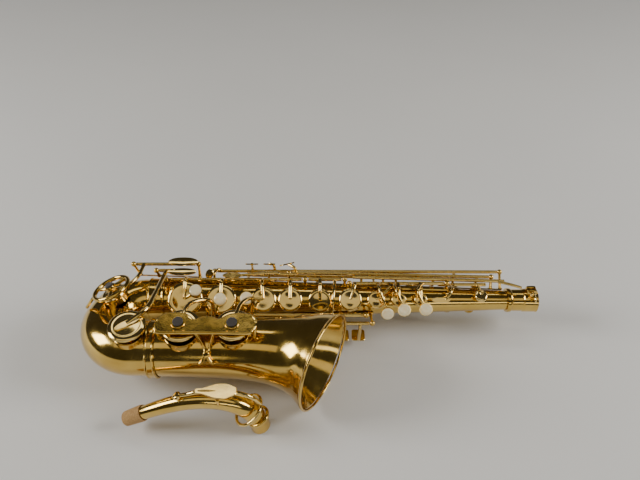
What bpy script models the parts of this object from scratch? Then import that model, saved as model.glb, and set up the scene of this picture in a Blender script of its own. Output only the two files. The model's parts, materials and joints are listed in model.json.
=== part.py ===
"""Alto saxophone lying on its left side, with its neck taken off, as separate parts.

Axes: +X runs along the body tube from the bow to the neck socket, -Y is the bell's
side, +Z is the player's right-hand side. All lengths below are millimetres.
"""
import math

import bmesh
import bpy
from mathutils import Matrix, Vector

MM = 0.001
GAP = 0.3

# Driving dimensions.
BODY_START = -214.0
BODY_END = 252.0
BODY_RADIUS_START = 28.2
BODY_RADIUS_END = 13.0
WALL = 1.5
BOW_CENTRE_X = -230.0
BOW_ARC = 45.5
BOW_RISE = 12.0
BELL_START = -214.0
BELL_LENGTH = 219.0
BELL_TILT = math.radians(27.0)
# Distance from the bow's end, and radius.
BELL_PROFILE = ((0, 33.6), (60, 35.2), (110, 37.0), (145, 39.8), (170, 44.0), (190, 50.0), (206, 56.8),
                (217, 61.5))
# The bow reaches this far up the bell's line before the bell itself starts.
BELL_JOINT = 10.0
RECEIVER_END = 293.0
RECEIVER_RADIUS = 14.8
BORE_RADIUS = 12.4
ROD = 2.4
BALL = 3.6
ARM = 2.0
FLOOR = -50.0
CUP_HEIGHT = 5.0
STACK_OPEN = 9.0
BELL_KEY_OPEN = 4.5
LOW_C_OPEN = 4.0
CHIMNEY = 2.6

# Moves the middle of the underside of the whole object's box to the origin.
SHIFT = Vector((6.7, 67.1, 50.2))

COLOURS = {
    "lacquer": ((0.83, 0.58, 0.20, 1.0), 0.16, 1.0),
    "key_lacquer": ((0.88, 0.67, 0.30, 1.0), 0.14, 1.0),
    "pearl": ((0.90, 0.88, 0.82, 1.0), 0.22, 0.0),
    "pad": ((0.16, 0.09, 0.05, 1.0), 0.60, 0.0),
    "felt": ((0.10, 0.08, 0.07, 1.0), 0.95, 0.0),
    "cork": ((0.55, 0.36, 0.19, 1.0), 0.85, 0.0),
}


def clear_scene():
    for item in list(bpy.data.objects):
        bpy.data.objects.remove(item, do_unlink=True)


def material(slot, node):
    colour, roughness, metallic = COLOURS[slot]
    result = bpy.data.materials.new(node + "_" + slot)
    result.use_nodes = True
    shader = result.node_tree.nodes["Principled BSDF"]
    shader.inputs["Base Color"].default_value = colour
    shader.inputs["Roughness"].default_value = roughness
    shader.inputs["Metallic"].default_value = metallic
    result.diffuse_color = colour
    return result


# ---------------------------------------------------------------- placing points

def body_radius(x):
    share = (x - BODY_START) / (BODY_END - BODY_START)
    return BODY_RADIUS_START + share * (BODY_RADIUS_END - BODY_RADIUS_START)


def around_body(x, degrees, radius):
    """A point at this angle round the body tube, from -Y (0) over +Z (90)."""
    turn = math.radians(degrees)
    return Vector((x, -radius * math.cos(turn), radius * math.sin(turn)))


def bell_centre(s):
    """The bell's centre line, s millimetres from the bow: it leans out towards -Y."""
    lean = BELL_TILT * (s / BELL_LENGTH) ** 4
    steps = 24
    y = -91.0
    x = BELL_START
    for step in range(steps):
        part_lean = BELL_TILT * ((step + 0.5) / steps * s / BELL_LENGTH) ** 4
        x += math.cos(part_lean) * s / steps
        y -= math.sin(part_lean) * s / steps
    return Vector((x, y, BOW_RISE)), Vector((math.cos(lean), -math.sin(lean), 0.0))


def bell_radius(s):
    for (s0, r0), (s1, r1) in zip(BELL_PROFILE, BELL_PROFILE[1:]):
        if s <= s1:
            return r0 + (r1 - r0) * (s - s0) / (s1 - s0)
    return BELL_PROFILE[-1][1]


def around_bell(s, degrees, radius):
    centre, along = bell_centre(s)
    side = Vector((-along.y, along.x, 0.0))
    turn = math.radians(degrees)
    return centre - side * (radius * math.cos(turn)) + Vector((0, 0, radius * math.sin(turn)))


# ---------------------------------------------------------------- closed shapes

def frames_along(path):
    """Two side vectors at each point of a path, carried along without twist."""
    tangents = []
    for index, point in enumerate(path):
        before = path[max(index - 1, 0)]
        after = path[min(index + 1, len(path) - 1)]
        tangents.append((after - before).normalized())
    first = tangents[0]
    helper = Vector((0, 0, 1)) if abs(first.z) < 0.9 else Vector((0, 1, 0))
    side = first.cross(helper).normalized()
    result = []
    for tangent in tangents:
        side = (side - tangent * side.dot(tangent)).normalized()
        result.append((side, tangent.cross(side)))
    return result


def ring_of(bm, centre, side, up, radius, count, squash=1.0):
    ring = []
    for step in range(count):
        turn = 2 * math.pi * (step + 0.5) / count
        offset = side * (radius * math.cos(turn)) + up * (radius * squash * math.sin(turn))
        ring.append(bm.verts.new(centre + offset))
    return ring


def skin(bm, one, two):
    count = len(one)
    for step in range(count):
        after = (step + 1) % count
        bm.faces.new((one[step], one[after], two[after], two[step]))


def solid(path, radii, count=8, squash=1.0):
    """A solid round bar along a path; radii is one number or one for each point."""
    path = [Vector(point) for point in path]
    if not isinstance(radii, (list, tuple)):
        radii = [radii] * len(path)
    bm = bmesh.new()
    rings = []
    for point, (side, up), radius in zip(path, frames_along(path), radii):
        rings.append(ring_of(bm, point, side, up, radius, count, squash))
    for one, two in zip(rings, rings[1:]):
        skin(bm, one, two)
    bm.faces.new(list(reversed(rings[0])))
    bm.faces.new(rings[-1])
    return finished(bm)


def pipe(path, outer, inner, count=24):
    """An open pipe with a wall: outer and inner hold one radius for each point."""
    path = [Vector(point) for point in path]
    bm = bmesh.new()
    outside = []
    inside = []
    for point, (side, up), big, small in zip(path, frames_along(path), outer, inner):
        outside.append(ring_of(bm, point, side, up, big, count))
        inside.append(ring_of(bm, point, side, up, small, count))
    loop = outside + list(reversed(inside))
    for index, ring in enumerate(loop):
        skin(bm, ring, loop[(index + 1) % len(loop)])
    return finished(bm)


def turned(centre, normal, profile, count=16):
    """A turned solid: profile is (distance along the normal, radius) pairs."""
    centre = Vector(centre)
    normal = Vector(normal).normalized()
    path = [centre + normal * distance for distance, _ in profile]
    side = normal.orthogonal().normalized()
    up = normal.cross(side)
    bm = bmesh.new()
    rings = []
    for point, (_, radius) in zip(path, profile):
        rings.append(ring_of(bm, point, side, up, radius, count))
    for one, two in zip(rings, rings[1:]):
        skin(bm, one, two)
    bm.faces.new(list(reversed(rings[0])))
    bm.faces.new(rings[-1])
    return finished(bm)


def ball(centre, radius=BALL):
    bm = bmesh.new()
    bmesh.ops.create_icosphere(bm, subdivisions=1, radius=radius, matrix=Matrix.Translation(Vector(centre)))
    return finished(bm)


def slab(outline, normal, thickness):
    """A flat plate: the outline's points lie in one plane, thickness goes along normal."""
    bm = bmesh.new()
    lift = Vector(normal).normalized() * thickness
    low = [bm.verts.new(Vector(point)) for point in outline]
    high = [bm.verts.new(Vector(point) + lift) for point in outline]
    skin(bm, low, high)
    bm.faces.new(list(reversed(low)))
    bm.faces.new(high)
    return finished(bm)


def hoop(centre, side, up, radius, thick, count):
    """A ring of bar in the plane of side and up."""
    normal = side.cross(up)
    bm = bmesh.new()
    rings = []
    for step in range(count):
        turn = 2 * math.pi * step / count
        out = side * math.cos(turn) + up * math.sin(turn)
        rings.append(ring_of(bm, centre + out * radius, out, normal, thick, 6))
    for index, ring in enumerate(rings):
        skin(bm, ring, rings[(index + 1) % count])
    return finished(bm)


def oval(centre, along, across, half_length, half_width, count=12):
    """The points of an oval outline in the plane of two directions."""
    points = []
    for step in range(count):
        turn = 2 * math.pi * step / count
        points.append(Vector(centre) + Vector(along).normalized() * (half_length * math.cos(turn))
                      + Vector(across).normalized() * (half_width * math.sin(turn)))
    return points


def finished(bm):
    bmesh.ops.recalc_face_normals(bm, faces=bm.faces[:])
    mesh = bpy.data.meshes.new("piece")
    bm.to_mesh(mesh)
    bm.free()
    return mesh


# ---------------------------------------------------------------- objects

def boolean(target, tool_mesh, operation):
    tool = bpy.data.objects.new("tool", tool_mesh)
    bpy.context.scene.collection.objects.link(tool)
    modifier = target.modifiers.new("join", "BOOLEAN")
    modifier.operation = operation
    modifier.solver = "EXACT"
    modifier.object = tool
    bpy.context.view_layer.update()
    graph = bpy.context.evaluated_depsgraph_get()
    result = bpy.data.meshes.new_from_object(target.evaluated_get(graph))
    target.modifiers.clear()
    target.data = result
    bpy.data.objects.remove(tool, do_unlink=True)


def clean(mesh):
    bm = bmesh.new()
    bm.from_mesh(mesh)
    bmesh.ops.remove_doubles(bm, verts=bm.verts[:], dist=0.02)
    bmesh.ops.dissolve_degenerate(bm, edges=bm.edges[:], dist=0.02)
    bmesh.ops.recalc_face_normals(bm, faces=bm.faces[:])
    bm.to_mesh(mesh)
    bm.free()


def piece(node, slot, meshes, cuts=(), pivot=(0, 0, 0), opened=0.0):
    """One named part: the meshes joined, less the cuts, its origin at the pivot.

    opened turns it about the pivot's X axis, from its closed place to its rest.
    """
    obj = bpy.data.objects.new(node, meshes[0])
    bpy.context.scene.collection.objects.link(obj)
    for mesh in meshes[1:]:
        boolean(obj, mesh, "UNION")
    for mesh in cuts:
        boolean(obj, mesh, "DIFFERENCE")
    clean(obj.data)
    pivot = Vector(pivot)
    turn = Matrix.Rotation(math.radians(-opened), 4, "X")
    obj.data.transform(Matrix.Scale(MM, 4) @ turn @ Matrix.Translation(-pivot))
    obj.location = (pivot + SHIFT) * MM
    obj.data.materials.clear()
    obj.data.materials.append(material(slot, node))
    obj.data.shade_smooth()
    return obj


# ---------------------------------------------------------------- body, bow and bell

# Tone holes of the body: x, angle, radius of the hole's rim.
BODY_HOLES = {
    "d": (-176.0, 45.0, 20.0),
    "e": (-129.0, 45.0, 17.0),
    "f": (-74.0, 45.0, 14.0),
    "f_sharp": (-39.0, 45.0, 13.5),
    "g": (0.0, 45.0, 13.5),
    "a": (40.0, 45.0, 13.0),
    "b": (74.0, 45.0, 9.5),
    "bis": (104.0, 45.0, 8.0),
    "c": (133.0, 45.0, 7.0),
    "front": (214.0, 62.0, 6.0),
    "side_bb": (58.0, 205.0, 8.5),
    "side_c": (88.0, 190.0, 8.0),
    "high_f_sharp": (184.0, 180.0, 6.0),
    "high_e": (215.0, 180.0, 6.0),
    "palm_d": (150.0, 262.0, 6.5),
    "palm_eb": (176.0, 255.0, 6.0),
    "palm_f": (206.0, 262.0, 5.5),
}


def hole_top(x, angle):
    return around_body(x, angle, body_radius(x) + CHIMNEY)


def body_tube():
    path = [Vector((BODY_START, 0, 0)), Vector((BODY_END, 0, 0))]
    outer = [BODY_RADIUS_START, BODY_RADIUS_END]
    inner = [BODY_RADIUS_START - WALL, BODY_RADIUS_END - WALL]
    tube = solid(path, outer, 24)
    meshes = [tube]
    cuts = []
    for x, angle, radius in BODY_HOLES.values():
        sides = 14 if radius > 10 else 10
        axis = around_body(0, angle, 1.0)
        height = body_radius(x) + CHIMNEY
        root = body_radius(x) * 0.55
        hole = radius - WALL
        meshes.append(turned((x, 0, 0), axis, ((root, radius), (height, radius)), sides))
        cuts.append(turned((x, 0, 0), axis, ((root * 0.9, hole), (height + 2, hole)), sides))
    bore = [Vector((BODY_START - 2, 0, 0)), Vector((BODY_END + 2, 0, 0))]
    cuts.insert(0, solid(bore, inner, 24))
    piece("body_tube", "lacquer", meshes, cuts)


def bow():
    path = [Vector((BODY_START - GAP, 0, 0))]
    steps = 8
    for step in range(steps + 1):
        turn = math.pi * step / steps
        rise = BOW_RISE * step / steps
        across = -BOW_ARC + BOW_ARC * math.cos(turn)
        path.append(Vector((BOW_CENTRE_X - BOW_ARC * math.sin(turn), across, rise)))
    path.append(Vector((BELL_START + BELL_JOINT - GAP, -2 * BOW_ARC, BOW_RISE)))
    count = len(path)
    growth = BELL_PROFILE[0][1] - BODY_RADIUS_START
    outer = [BODY_RADIUS_START + growth * index / (count - 1) for index in range(count)]
    inner = [radius - WALL for radius in outer]
    meshes = [solid(path, outer, 20)]
    cuts = []
    extended = [path[0] + Vector((3, 0, 0))] + path[1:-1] + [path[-1] + Vector((3, 0, 0))]
    cuts.append(solid(extended, inner, 20))
    for centre, axis, radius in (LOW_C_HOLE, LOW_EB_HOLE):
        meshes.append(turned(centre, axis, ((-10, radius), (0, radius)), 14))
        cuts.append(turned(centre, axis, ((-14, radius - WALL), (2, radius - WALL)), 14))
    piece("bow", "lacquer", meshes, cuts)


LOW_C_HOLE = (Vector((-228.0, -95.8, 49.0)), Vector((0.0, -0.13, 0.99)).normalized(), 18.3)
LOW_EB_HOLE = (Vector((-264, -26, 39.6)), Vector((-0.35, 0.18, 1.0)).normalized(), 14.5)

# Tone holes of the bell: distance from the bow, angle, radius.
BELL_HOLES = {"low_b": (112.0, 82.0, 19.5), "low_bb": (49.0, 82.0, 20.5), "low_c_sharp": (96.0, 262.0, 17.0)}


def bell():
    stations = [BELL_JOINT, 60, 110, 135, 155, 172, 186, 198, 208, 217]
    path = [bell_centre(s)[0] for s in stations]
    outer = [bell_radius(s) for s in stations]
    path.append(bell_centre(219)[0])
    outer.append(61.5)
    meshes = [solid(path, outer, 28)]
    inner = [radius - WALL for radius in outer]
    first = path[0] + Vector((-3, 0, 0))
    last = path[-1] + bell_centre(219)[1] * 4
    cuts = [solid([first] + path[1:-1] + [last], inner[:-1] + [61.8], 28)]
    for s, angle, radius in BELL_HOLES.values():
        centre = bell_centre(s)[0]
        axis = around_bell(s, angle, 1.0) - centre
        height = bell_radius(s) + CHIMNEY + 1.0
        root = bell_radius(s) * 0.6
        meshes.append(turned(centre, axis, ((root, radius), (height, radius)), 14))
        cuts.append(turned(centre, axis, ((root * 0.9, radius - WALL), (height + 2, radius - WALL)), 14))
    piece("bell", "lacquer", meshes, cuts)


def ferrules():
    radius = BODY_RADIUS_START + GAP
    path = [Vector((-229.0, -0.15, 0.05)), Vector((-206.0, 0, 0))]
    sleeve = pipe(path, [radius + 2.2, radius + 2.2], [radius + 0.7, radius + 0.2], 24)
    piece("body_bow_ferrule", "lacquer", [sleeve])
    path = [Vector((x, -2 * BOW_ARC, BOW_RISE)) for x in (-209.0, -197.0)]
    piece("bell_bow_ring", "lacquer", [pipe(path, [36.9, 36.9], [34.8, 34.9], 24)])


def bell_rim():
    centre, along = bell_centre(BELL_LENGTH)
    path = [centre + along * distance for distance in (1.2, 2.6, 4.0)]
    piece("bell_rim", "lacquer", [pipe(path, [61.6, 62.6, 61.6], [60.0, 59.8, 60.0], 28)])


SCREW = Vector((283.5, 0, 19.5))


def neck_receiver():
    path = [Vector((x, 0, 0)) for x in (BODY_END + GAP, 258, 259, 274, 275, RECEIVER_END)]
    outer = [RECEIVER_RADIUS + swell for swell in (1.6, 1.6, 0.0, 0.0, 1.0, 1.0)]
    meshes = [pipe(path, outer, [BORE_RADIUS] * len(path), 18)]
    for y in (-1.2, 1.2):
        outline = [Vector((x, y, z)) for x, z in ((277, 13.5), (277, 23), (290, 23), (290, 13.5))]
        meshes.append(slab(outline, (0, math.copysign(1, y), 0), 3.6))
    corners = ((272, 8), (272, 26), (296, 26), (296, 8))
    slit = slab([Vector((x, -0.7, z)) for x, z in corners], (0, 1, 0), 1.4)
    hole = solid([SCREW - Vector((0, 9, 0)), SCREW + Vector((0, 9, 0))], 2.3, 12)
    piece("neck_receiver", "lacquer", meshes, [slit, hole])


def neck_screw():
    meshes = [solid([SCREW + Vector((0, y, 0)) for y in (-8.5, 6.5)], 1.9, 10)]
    collar = oval(SCREW + Vector((0, -8.0, 0)), (1, 0, 0), (0, 0, 1), 4.2, 3.2, 10)
    meshes.append(slab(collar, (0, -1, 0), 2.0))
    paddle = oval(SCREW + Vector((-1.0, -15.5, 0)), (0, 1, 0), (0, 0, 1), 6.5, 5.0, 12)
    meshes.append(slab(paddle, (1, 0, 0), 2.0))
    piece("neck_screw", "key_lacquer", meshes, pivot=SCREW)


# ---------------------------------------------------------------- posts and rails

# Hinge lines of the two stacks, parallel to the body: y and z.
LOWER_ROD = (7.0, 33.0)
UPPER_ROD = (5.0, 27.6)


def rod_point(rod, x):
    return Vector((x, rod[0], rod[1]))


def key_cup(centre, normal, radius, count=12):
    """A pad cup: the pad's face is at the centre, the dome's top CUP_HEIGHT above."""
    profile = ((0.0, radius * 0.9), (1.4, radius * 0.99), (3.2, radius), (CUP_HEIGHT, radius * 0.8),
               (CUP_HEIGHT + 1.0, radius * 0.35))
    return turned(centre, normal, profile, count)


def hinge(start, end):
    return solid([start, end], ROD, 6)


def arm(points, start=ARM, end=ARM):
    points = [Vector(point) for point in points]
    count = len(points)
    radii = [start + (end - start) * index / (count - 1) for index in range(count)]
    return solid(points, radii, 5)


def closed_seat(hole):
    """Centre of a closed pad's face over a body tone hole, and its normal."""
    x, angle, _ = BODY_HOLES[hole]
    return around_body(x, angle, body_radius(x) + CHIMNEY + GAP), around_body(0, angle, 1.0)


def over_chimney(hole, x):
    """A point just over the edge of a tone hole's chimney, on the side of the rods."""
    _, angle, radius = BODY_HOLES[hole]
    across = around_body(0, angle + 90, radius + 6.0)
    return across + around_body(x, angle, body_radius(x) + CHIMNEY + GAP + 4.2)


def pearl_holder(centre, normal, radius=8.0):
    return turned(centre, normal, ((-2.4, radius * 0.6), (-0.8, radius + 0.8), (0.6, radius + 0.8)), 10)


def pearl(node, centre, normal, pivot, opened=0.0, radius=7.8):
    profile = ((0.6 + GAP, radius), (2.0, radius), (3.0, radius * 0.75), (3.5, radius * 0.3))
    piece(node, "pearl", [turned(centre, normal, profile, 10)], pivot=pivot, opened=opened)


def rails():
    lower = [(max(x, -200.0), rod_point(LOWER_ROD, x)) for x in (-205.0, -20.0, 33.0)]
    rail("lower_stack_rail", -203, 36, 111, lower)
    upper = [(x, rod_point(UPPER_ROD, x)) for x in (39.5, 170.0)]
    rail("upper_stack_rail", 37, 174, 108, upper)


def strip(x0, x1, angle, width, lift, thickness):
    """A flat strip along the body tube."""
    ends = [around_body(x, angle, body_radius(x) + GAP + lift) for x in (x0, x1)]
    normal = around_body(0, angle, 1.0)
    across = Vector((1, 0, 0)).cross(normal).normalized() * (width / 2)
    outline = [ends[0] - across, ends[1] - across, ends[1] + across, ends[0] + across]
    return slab(outline, normal, thickness)


def rail(node, x0, x1, angle, posts, width=7.0):
    """A strip along the body that carries ball posts: where each stands, and its head."""
    meshes = [strip(x0, x1, angle, width, 0.2, 2.0)]
    for x, head in posts:
        foot = around_body(x, angle, body_radius(x) + GAP + 1.8)
        meshes.append(solid([foot, head], 2.0, 6))
        meshes.append(ball(head))
    piece(node, "lacquer", meshes)


# Stack keys: hole, cup radius, rod, the ends of its tube, and where the arm leaves it.
STACK_KEYS = {
    "d_key": ("d", 23.0, LOWER_ROD, (-201.0, -152.4), -176.0),
    "e_key": ("e", 20.0, LOWER_ROD, (-152.0, -100.4), -129.0),
    "f_key": ("f", 17.0, LOWER_ROD, (-100.0, -56.2), -76.0),
    "f_sharp_key": ("f_sharp", 16.2, LOWER_ROD, (-55.8, -24.2), -39.0),
    "g_sharp_key": ("g", 16.2, LOWER_ROD, (-15.8, 28.8), 0.0),
    "g_key": ("a", 15.6, UPPER_ROD, (43.6, 79.8), 46.0),
    "a_key": ("b", 12.2, UPPER_ROD, (80.2, 99.8), 92.0),
    "bis_key": ("bis", 10.4, UPPER_ROD, (100.2, 118.0), 104.0),
    "b_key": ("c", 9.2, UPPER_ROD, (118.4, 165.8), 133.0),
}

CLOSED_AT_REST = ("g_sharp_key",)

# Pearls: key, x, angle and distance from the body's axis, with the key closed.
PEARLS = {
    "d_pearl": ("d_key", -161.0, 60.0, 41.5),
    "e_pearl": ("e_key", -129.5, 45.0, 36.2),
    "f_pearl": ("f_key", -95.5, 47.0, 36.0),
    "g_pearl": ("g_key", 88.0, 14.0, 36.0),
    "a_pearl": ("a_key", 109.5, 22.0, 36.2),
    "b_pearl": ("b_key", 138.0, 22.0, 33.5),
}


def stack_keys():
    for node, (hole, radius, rod, ends, arm_x) in STACK_KEYS.items():
        seat, normal = closed_seat(hole)
        start = rod_point(rod, arm_x)
        back = seat + normal * (CUP_HEIGHT + 0.4)
        rise = over_chimney(hole, arm_x)
        meshes = [hinge(rod_point(rod, ends[0]), rod_point(rod, ends[1]))]
        meshes.append(arm([start, rise, back], 2.6, 2.0))
        meshes.append(key_cup(seat, normal, radius))
        pivot = rod_point(rod, (ends[0] + ends[1]) / 2)
        for name, (owner, x, angle, distance) in PEARLS.items():
            if owner != node:
                continue
            top = around_body(x, angle, distance)
            facing = around_body(0, angle, 1.0)
            meshes.append(pearl_holder(top, facing))
            if rod is UPPER_ROD:
                root = rod_point(rod, min(ends[1] - 3.0, x))
                bend = around_body(x - 10, 62, distance + 1.5)
                meshes.append(arm([root, bend, top - facing * 1.4], 2.2, 1.8))
            elif abs(x - BODY_HOLES[hole][0]) > 5:
                meshes.append(arm([back - normal * 1.5, top - facing * 2.2], 2.2, 2.2))
            pearl(name, top, facing, pivot, STACK_OPEN)
        if node == "g_sharp_key":
            lever = [rod_point(rod, 20), around_body(17, 50, 31), around_body(15, 0, 30)]
            lever += [around_body(14, -38, 34), Vector((24, -14, -33))]
            meshes.append(arm(lever, 2.2, 2.0))
            corners = ((20, -18), (36, -18), (36, -6), (20, -6))
            meshes.append(slab([Vector((x, y, -32.0)) for x, y in corners], (0, 0, -1), 2.2))
        opened = 0.0 if node in CLOSED_AT_REST else STACK_OPEN
        piece(node, "key_lacquer", meshes, pivot=pivot, opened=opened)


def c_key():
    seat, normal = closed_seat("front")
    rod = (Vector((174.5, 5, 25.0)), Vector((222, 5, 25.0)))
    cup = key_cup(seat, normal, 8.4)
    touch = slab(oval(around_body(157, 42, 35), (1, 0, 0), (0, 0.7, 0.7), 12, 3.6), (0, -0.7, 0.7), 1.8)
    reach = arm([rod[0] + Vector((4, 0, 0)), around_body(172, 62, 36), around_body(163, 42, 35.8)], 2.2, 1.8)
    hold = arm([rod[0].lerp(rod[1], 0.76), seat + normal * (CUP_HEIGHT + 0.4)], 2.2, 1.8)
    piece("c_key", "key_lacquer", [hinge(*rod), cup, reach, hold, touch], pivot=rod[0], opened=STACK_OPEN)


# ---------------------------------------------------------------- right-hand little finger and bow keys

LOW_EB_ROD = (Vector((-246, 24, 45.0)), Vector((-167, 24, 45.0)))
LOW_C_ROD = (Vector((-214.8, 16, 41.0)), Vector((-197.6, 16, 41.0)))


def pinky_rail():
    normal = around_body(0, 128, 1.0)
    meshes = [strip(-245, -160, 128, 7.0, 4.2, 1.6)]
    heads = ((LOW_EB_ROD[0] - Vector((4, 0, 0)), -243), (LOW_EB_ROD[1] + Vector((4, 0, 0)), -163),
             (LOW_C_ROD[0] - Vector((3.9, 0, 0)), -218))
    for head, foot_x in heads:
        foot = around_body(foot_x, 128, body_radius(foot_x) + GAP + 5.0)
        meshes.append(solid([foot, head], 2.0, 6))
        meshes.append(ball(head))
    sole = around_body(-182, 128, body_radius(-182) + GAP)
    meshes.append(turned(sole, normal, ((0.0, 4.5), (5.0, 4.0)), 10))
    piece("pinky_key_rail", "lacquer", meshes)


def low_eb_key():
    centre, normal, _ = LOW_EB_HOLE
    seat = centre + normal * GAP
    cup = key_cup(seat, normal, 17.0)
    back = seat + normal * (CUP_HEIGHT + 0.4)
    bends = [Vector((-238, 0, 47)), Vector((-247, -15, 47))]
    reach = arm([LOW_EB_ROD[0] + Vector((10, 0, 0))] + bends + [back], 2.6, 2.2)
    plate = oval(Vector((-182, 21.5, 51.0)), (1, 0, 0), (0, 0.98, 0.2), 20, 7.0)
    touch = slab(plate, (0, -0.2, 0.98), 2.2)
    lever = arm([Vector((-186, 24, 45)), Vector((-186, 22, 52))], 3.0, 3.0)
    piece("low_eb_key", "key_lacquer", [hinge(*LOW_EB_ROD), cup, reach, lever, touch], pivot=LOW_EB_ROD[0])


def low_c_key():
    centre, normal, _ = LOW_C_HOLE
    seat = centre + normal * GAP
    cup = key_cup(seat, normal, 22.5)
    back = seat + normal * (CUP_HEIGHT + 0.4)
    bends = [Vector((-205, -20, 49)), Vector((-205, -50, 56)), Vector((-208, -76, 60))]
    reach = arm([LOW_C_ROD[0] + Vector((9.8, 0, 0))] + bends + [back], 3.0, 3.4)
    toward = Vector((0.83, 0.55, 0.07)).normalized()
    leaf = slab(oval(seat + normal * 4.8 + toward * 2.0, toward, normal.cross(toward), 17, 4.8), normal, 2.6)
    plate = oval(Vector((-182, 7, 45.5)), (1, 0, 0), (0, 0.98, 0.2), 19, 6.0)
    touch = slab(plate, (0, -0.2, 0.98), 2.2)
    lever = arm([LOW_C_ROD[1] - Vector((3.4, 0, 0)), Vector((-192, 9, 46.5))], 2.4, 2.4)
    piece("low_c_key", "key_lacquer", [hinge(*LOW_C_ROD), cup, reach, leaf, lever, touch], pivot=LOW_C_ROD[0],
          opened=LOW_C_OPEN)


GUARD_RING = 22.5
GUARD_BOSS = 4.4


def low_eb_guard():
    centre = Vector((-263, -32, 57.0))
    normal = LOW_EB_HOLE[1]
    side = Vector((0, 1, 0)).cross(normal).normalized()
    up = normal.cross(side)
    meshes = [hoop(centre, side, up, GUARD_RING, 2.8, 24)]
    for step in range(3):
        turn = 2 * math.pi * (step + 0.4) / 3
        out = side * math.cos(turn) + up * math.sin(turn)
        meshes.append(solid([centre, centre + out * GUARD_RING], [3.4, 2.6], 6))
    meshes.append(turned(centre, normal, ((-3.0, 6.5), (GUARD_BOSS, 6.5)), 12))
    for degrees, foot in ((201, Vector((-297.5, -42, 31.8))), (77, Vector((-258, 5, 32.5)))):
        turn = math.radians(degrees)
        out = side * math.cos(turn) + up * math.sin(turn)
        meshes.append(solid([centre + out * GUARD_RING, foot], 2.0, 6))
    piece("low_eb_guard", "lacquer", meshes)
    felt = turned(centre, normal, ((GUARD_BOSS + GAP, 5.0), (GUARD_BOSS + 2.4, 5.0)), 12)
    piece("low_eb_guard_felt", "felt", [felt])


# ---------------------------------------------------------------- bell keys

LOW_B_ROD = (-42.0, 17.0)
LOW_BB_ROD = (-47.0, 7.0)
C_SHARP_ROD = (-43.0, -9.0)


def bell_seat(hole, lift=GAP):
    s, angle, _ = BELL_HOLES[hole]
    centre = bell_centre(s)[0]
    height = bell_radius(s) + CHIMNEY + 1.0 + lift
    top = around_bell(s, angle, height)
    return top, (top - centre).normalized()


# Low B and B flat: rod, the ends of its tube, cup radius, and where the lever runs
# down to the spatula: x and the outermost y.
BELL_KEYS = {
    "low_b": (LOW_B_ROD, (-96.0, 56.0), 22.0, 30.0, -38.0),
    "low_bb": (LOW_BB_ROD, (-147.0, 64.0), 23.0, 52.0, -49.0),
}
SPATULA_Y = -26.0
SPATULA_Z = -34.0


def spatula(x0, x1, y0, y1, z):
    return slab([Vector((x, y, z)) for x, y in ((x0, y0), (x1, y0), (x1, y1), (x0, y1))], (0, 0, -1), 2.2)


def bell_keys():
    for hole, (rod, span, radius, x, way_down) in BELL_KEYS.items():
        seat, normal = bell_seat(hole, GAP + 1.8)
        start = rod_point(rod, span[0])
        back = seat + normal * (CUP_HEIGHT + 0.4)
        root = rod_point(rod, span[0] + 8)
        bend = Vector((root.x + 2, rod[0] + 2, 44))
        over = Vector((seat.x + 6, -66, 60))
        meshes = [hinge(start, rod_point(rod, span[1])), arm([root, bend, over, back], 2.8, 2.4)]
        meshes.append(key_cup(seat, normal, radius))
        lever = [rod_point(rod, x), Vector((x, way_down, 0)), Vector((x, -45, -16)), Vector((x, -40, -31))]
        meshes.append(arm(lever + [Vector((x, SPATULA_Y, SPATULA_Z - 1))], 2.2, 2.2))
        meshes.append(spatula(x - 9, x + 9, SPATULA_Y - 12, SPATULA_Y + 8, SPATULA_Z))
        piece(hole + "_key", "key_lacquer", meshes, pivot=start, opened=BELL_KEY_OPEN)
        face = radius * 0.84
        disc = turned(seat - normal * GAP, normal, ((-1.5, face), (0, face)), 18)
        piece(hole + "_pad", "pad", [disc], pivot=start, opened=BELL_KEY_OPEN)
    seat, normal = bell_seat("low_c_sharp")
    start = rod_point(C_SHARP_ROD, -118)
    back = seat + normal * (CUP_HEIGHT + 0.4)
    meshes = [hinge(start, rod_point(C_SHARP_ROD, 20)), key_cup(seat, normal, 19.5)]
    meshes.append(arm([rod_point(C_SHARP_ROD, -108), Vector((-108, -60, -32)), back], 2.4, 2.2))
    meshes.append(arm([rod_point(C_SHARP_ROD, 8), Vector((8, -38, -22)), Vector((8, -30, -34))], 2.2, 2.2))
    meshes.append(spatula(-4, 18, -38, -20, -33.0))
    piece("low_c_sharp_key", "key_lacquer", meshes, pivot=start)


def bell_key_rail():
    meshes = []
    spots = ((LOW_B_ROD, -99.9), (LOW_B_ROD, 59.9), (LOW_BB_ROD, -150.9), (LOW_BB_ROD, 67.9),
             (C_SHARP_ROD, -121.9), (C_SHARP_ROD, 23.9))
    for rod, x in spots:
        head = rod_point(rod, x)
        foot = around_body(x, -16, body_radius(x) + GAP + 2.0)
        meshes.append(solid([foot, head], 2.0, 6))
        meshes.append(ball(head))
    piece("bell_key_rail", "lacquer", [strip(-156, 72, -16, 9.0, 0.2, 2.2)] + meshes)


# The guard's outline: distance along the bell, and across the line of its keys.
GUARD_OUTLINE = ((22, 4), (24, 9), (29, 12), (60, 12.5), (100, 12.5), (131, 12), (137, 8), (140, 2),
                 (139, -6), (133, -12), (122, -13.5), (108, -12), (96, -5), (87, -8), (77, -8), (67, -4),
                 (58, -11), (47, -13.5), (34, -12.5), (26, -8), (22, -2))
GUARD_EDGE = 8
GUARD_HEIGHT = 56.5
GUARD_MIDDLE = 81.0


def guard_point(s, across, lift):
    """A point of the bell key guard: across is measured from the keys' line, away from the body."""
    angle = BELL_HOLES["low_b"][1]
    centre, along = bell_centre(s)
    normal = (around_bell(s, angle, 1.0) - centre).normalized()
    return centre + normal * (GUARD_HEIGHT + lift) + along.cross(normal) * across


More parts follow.
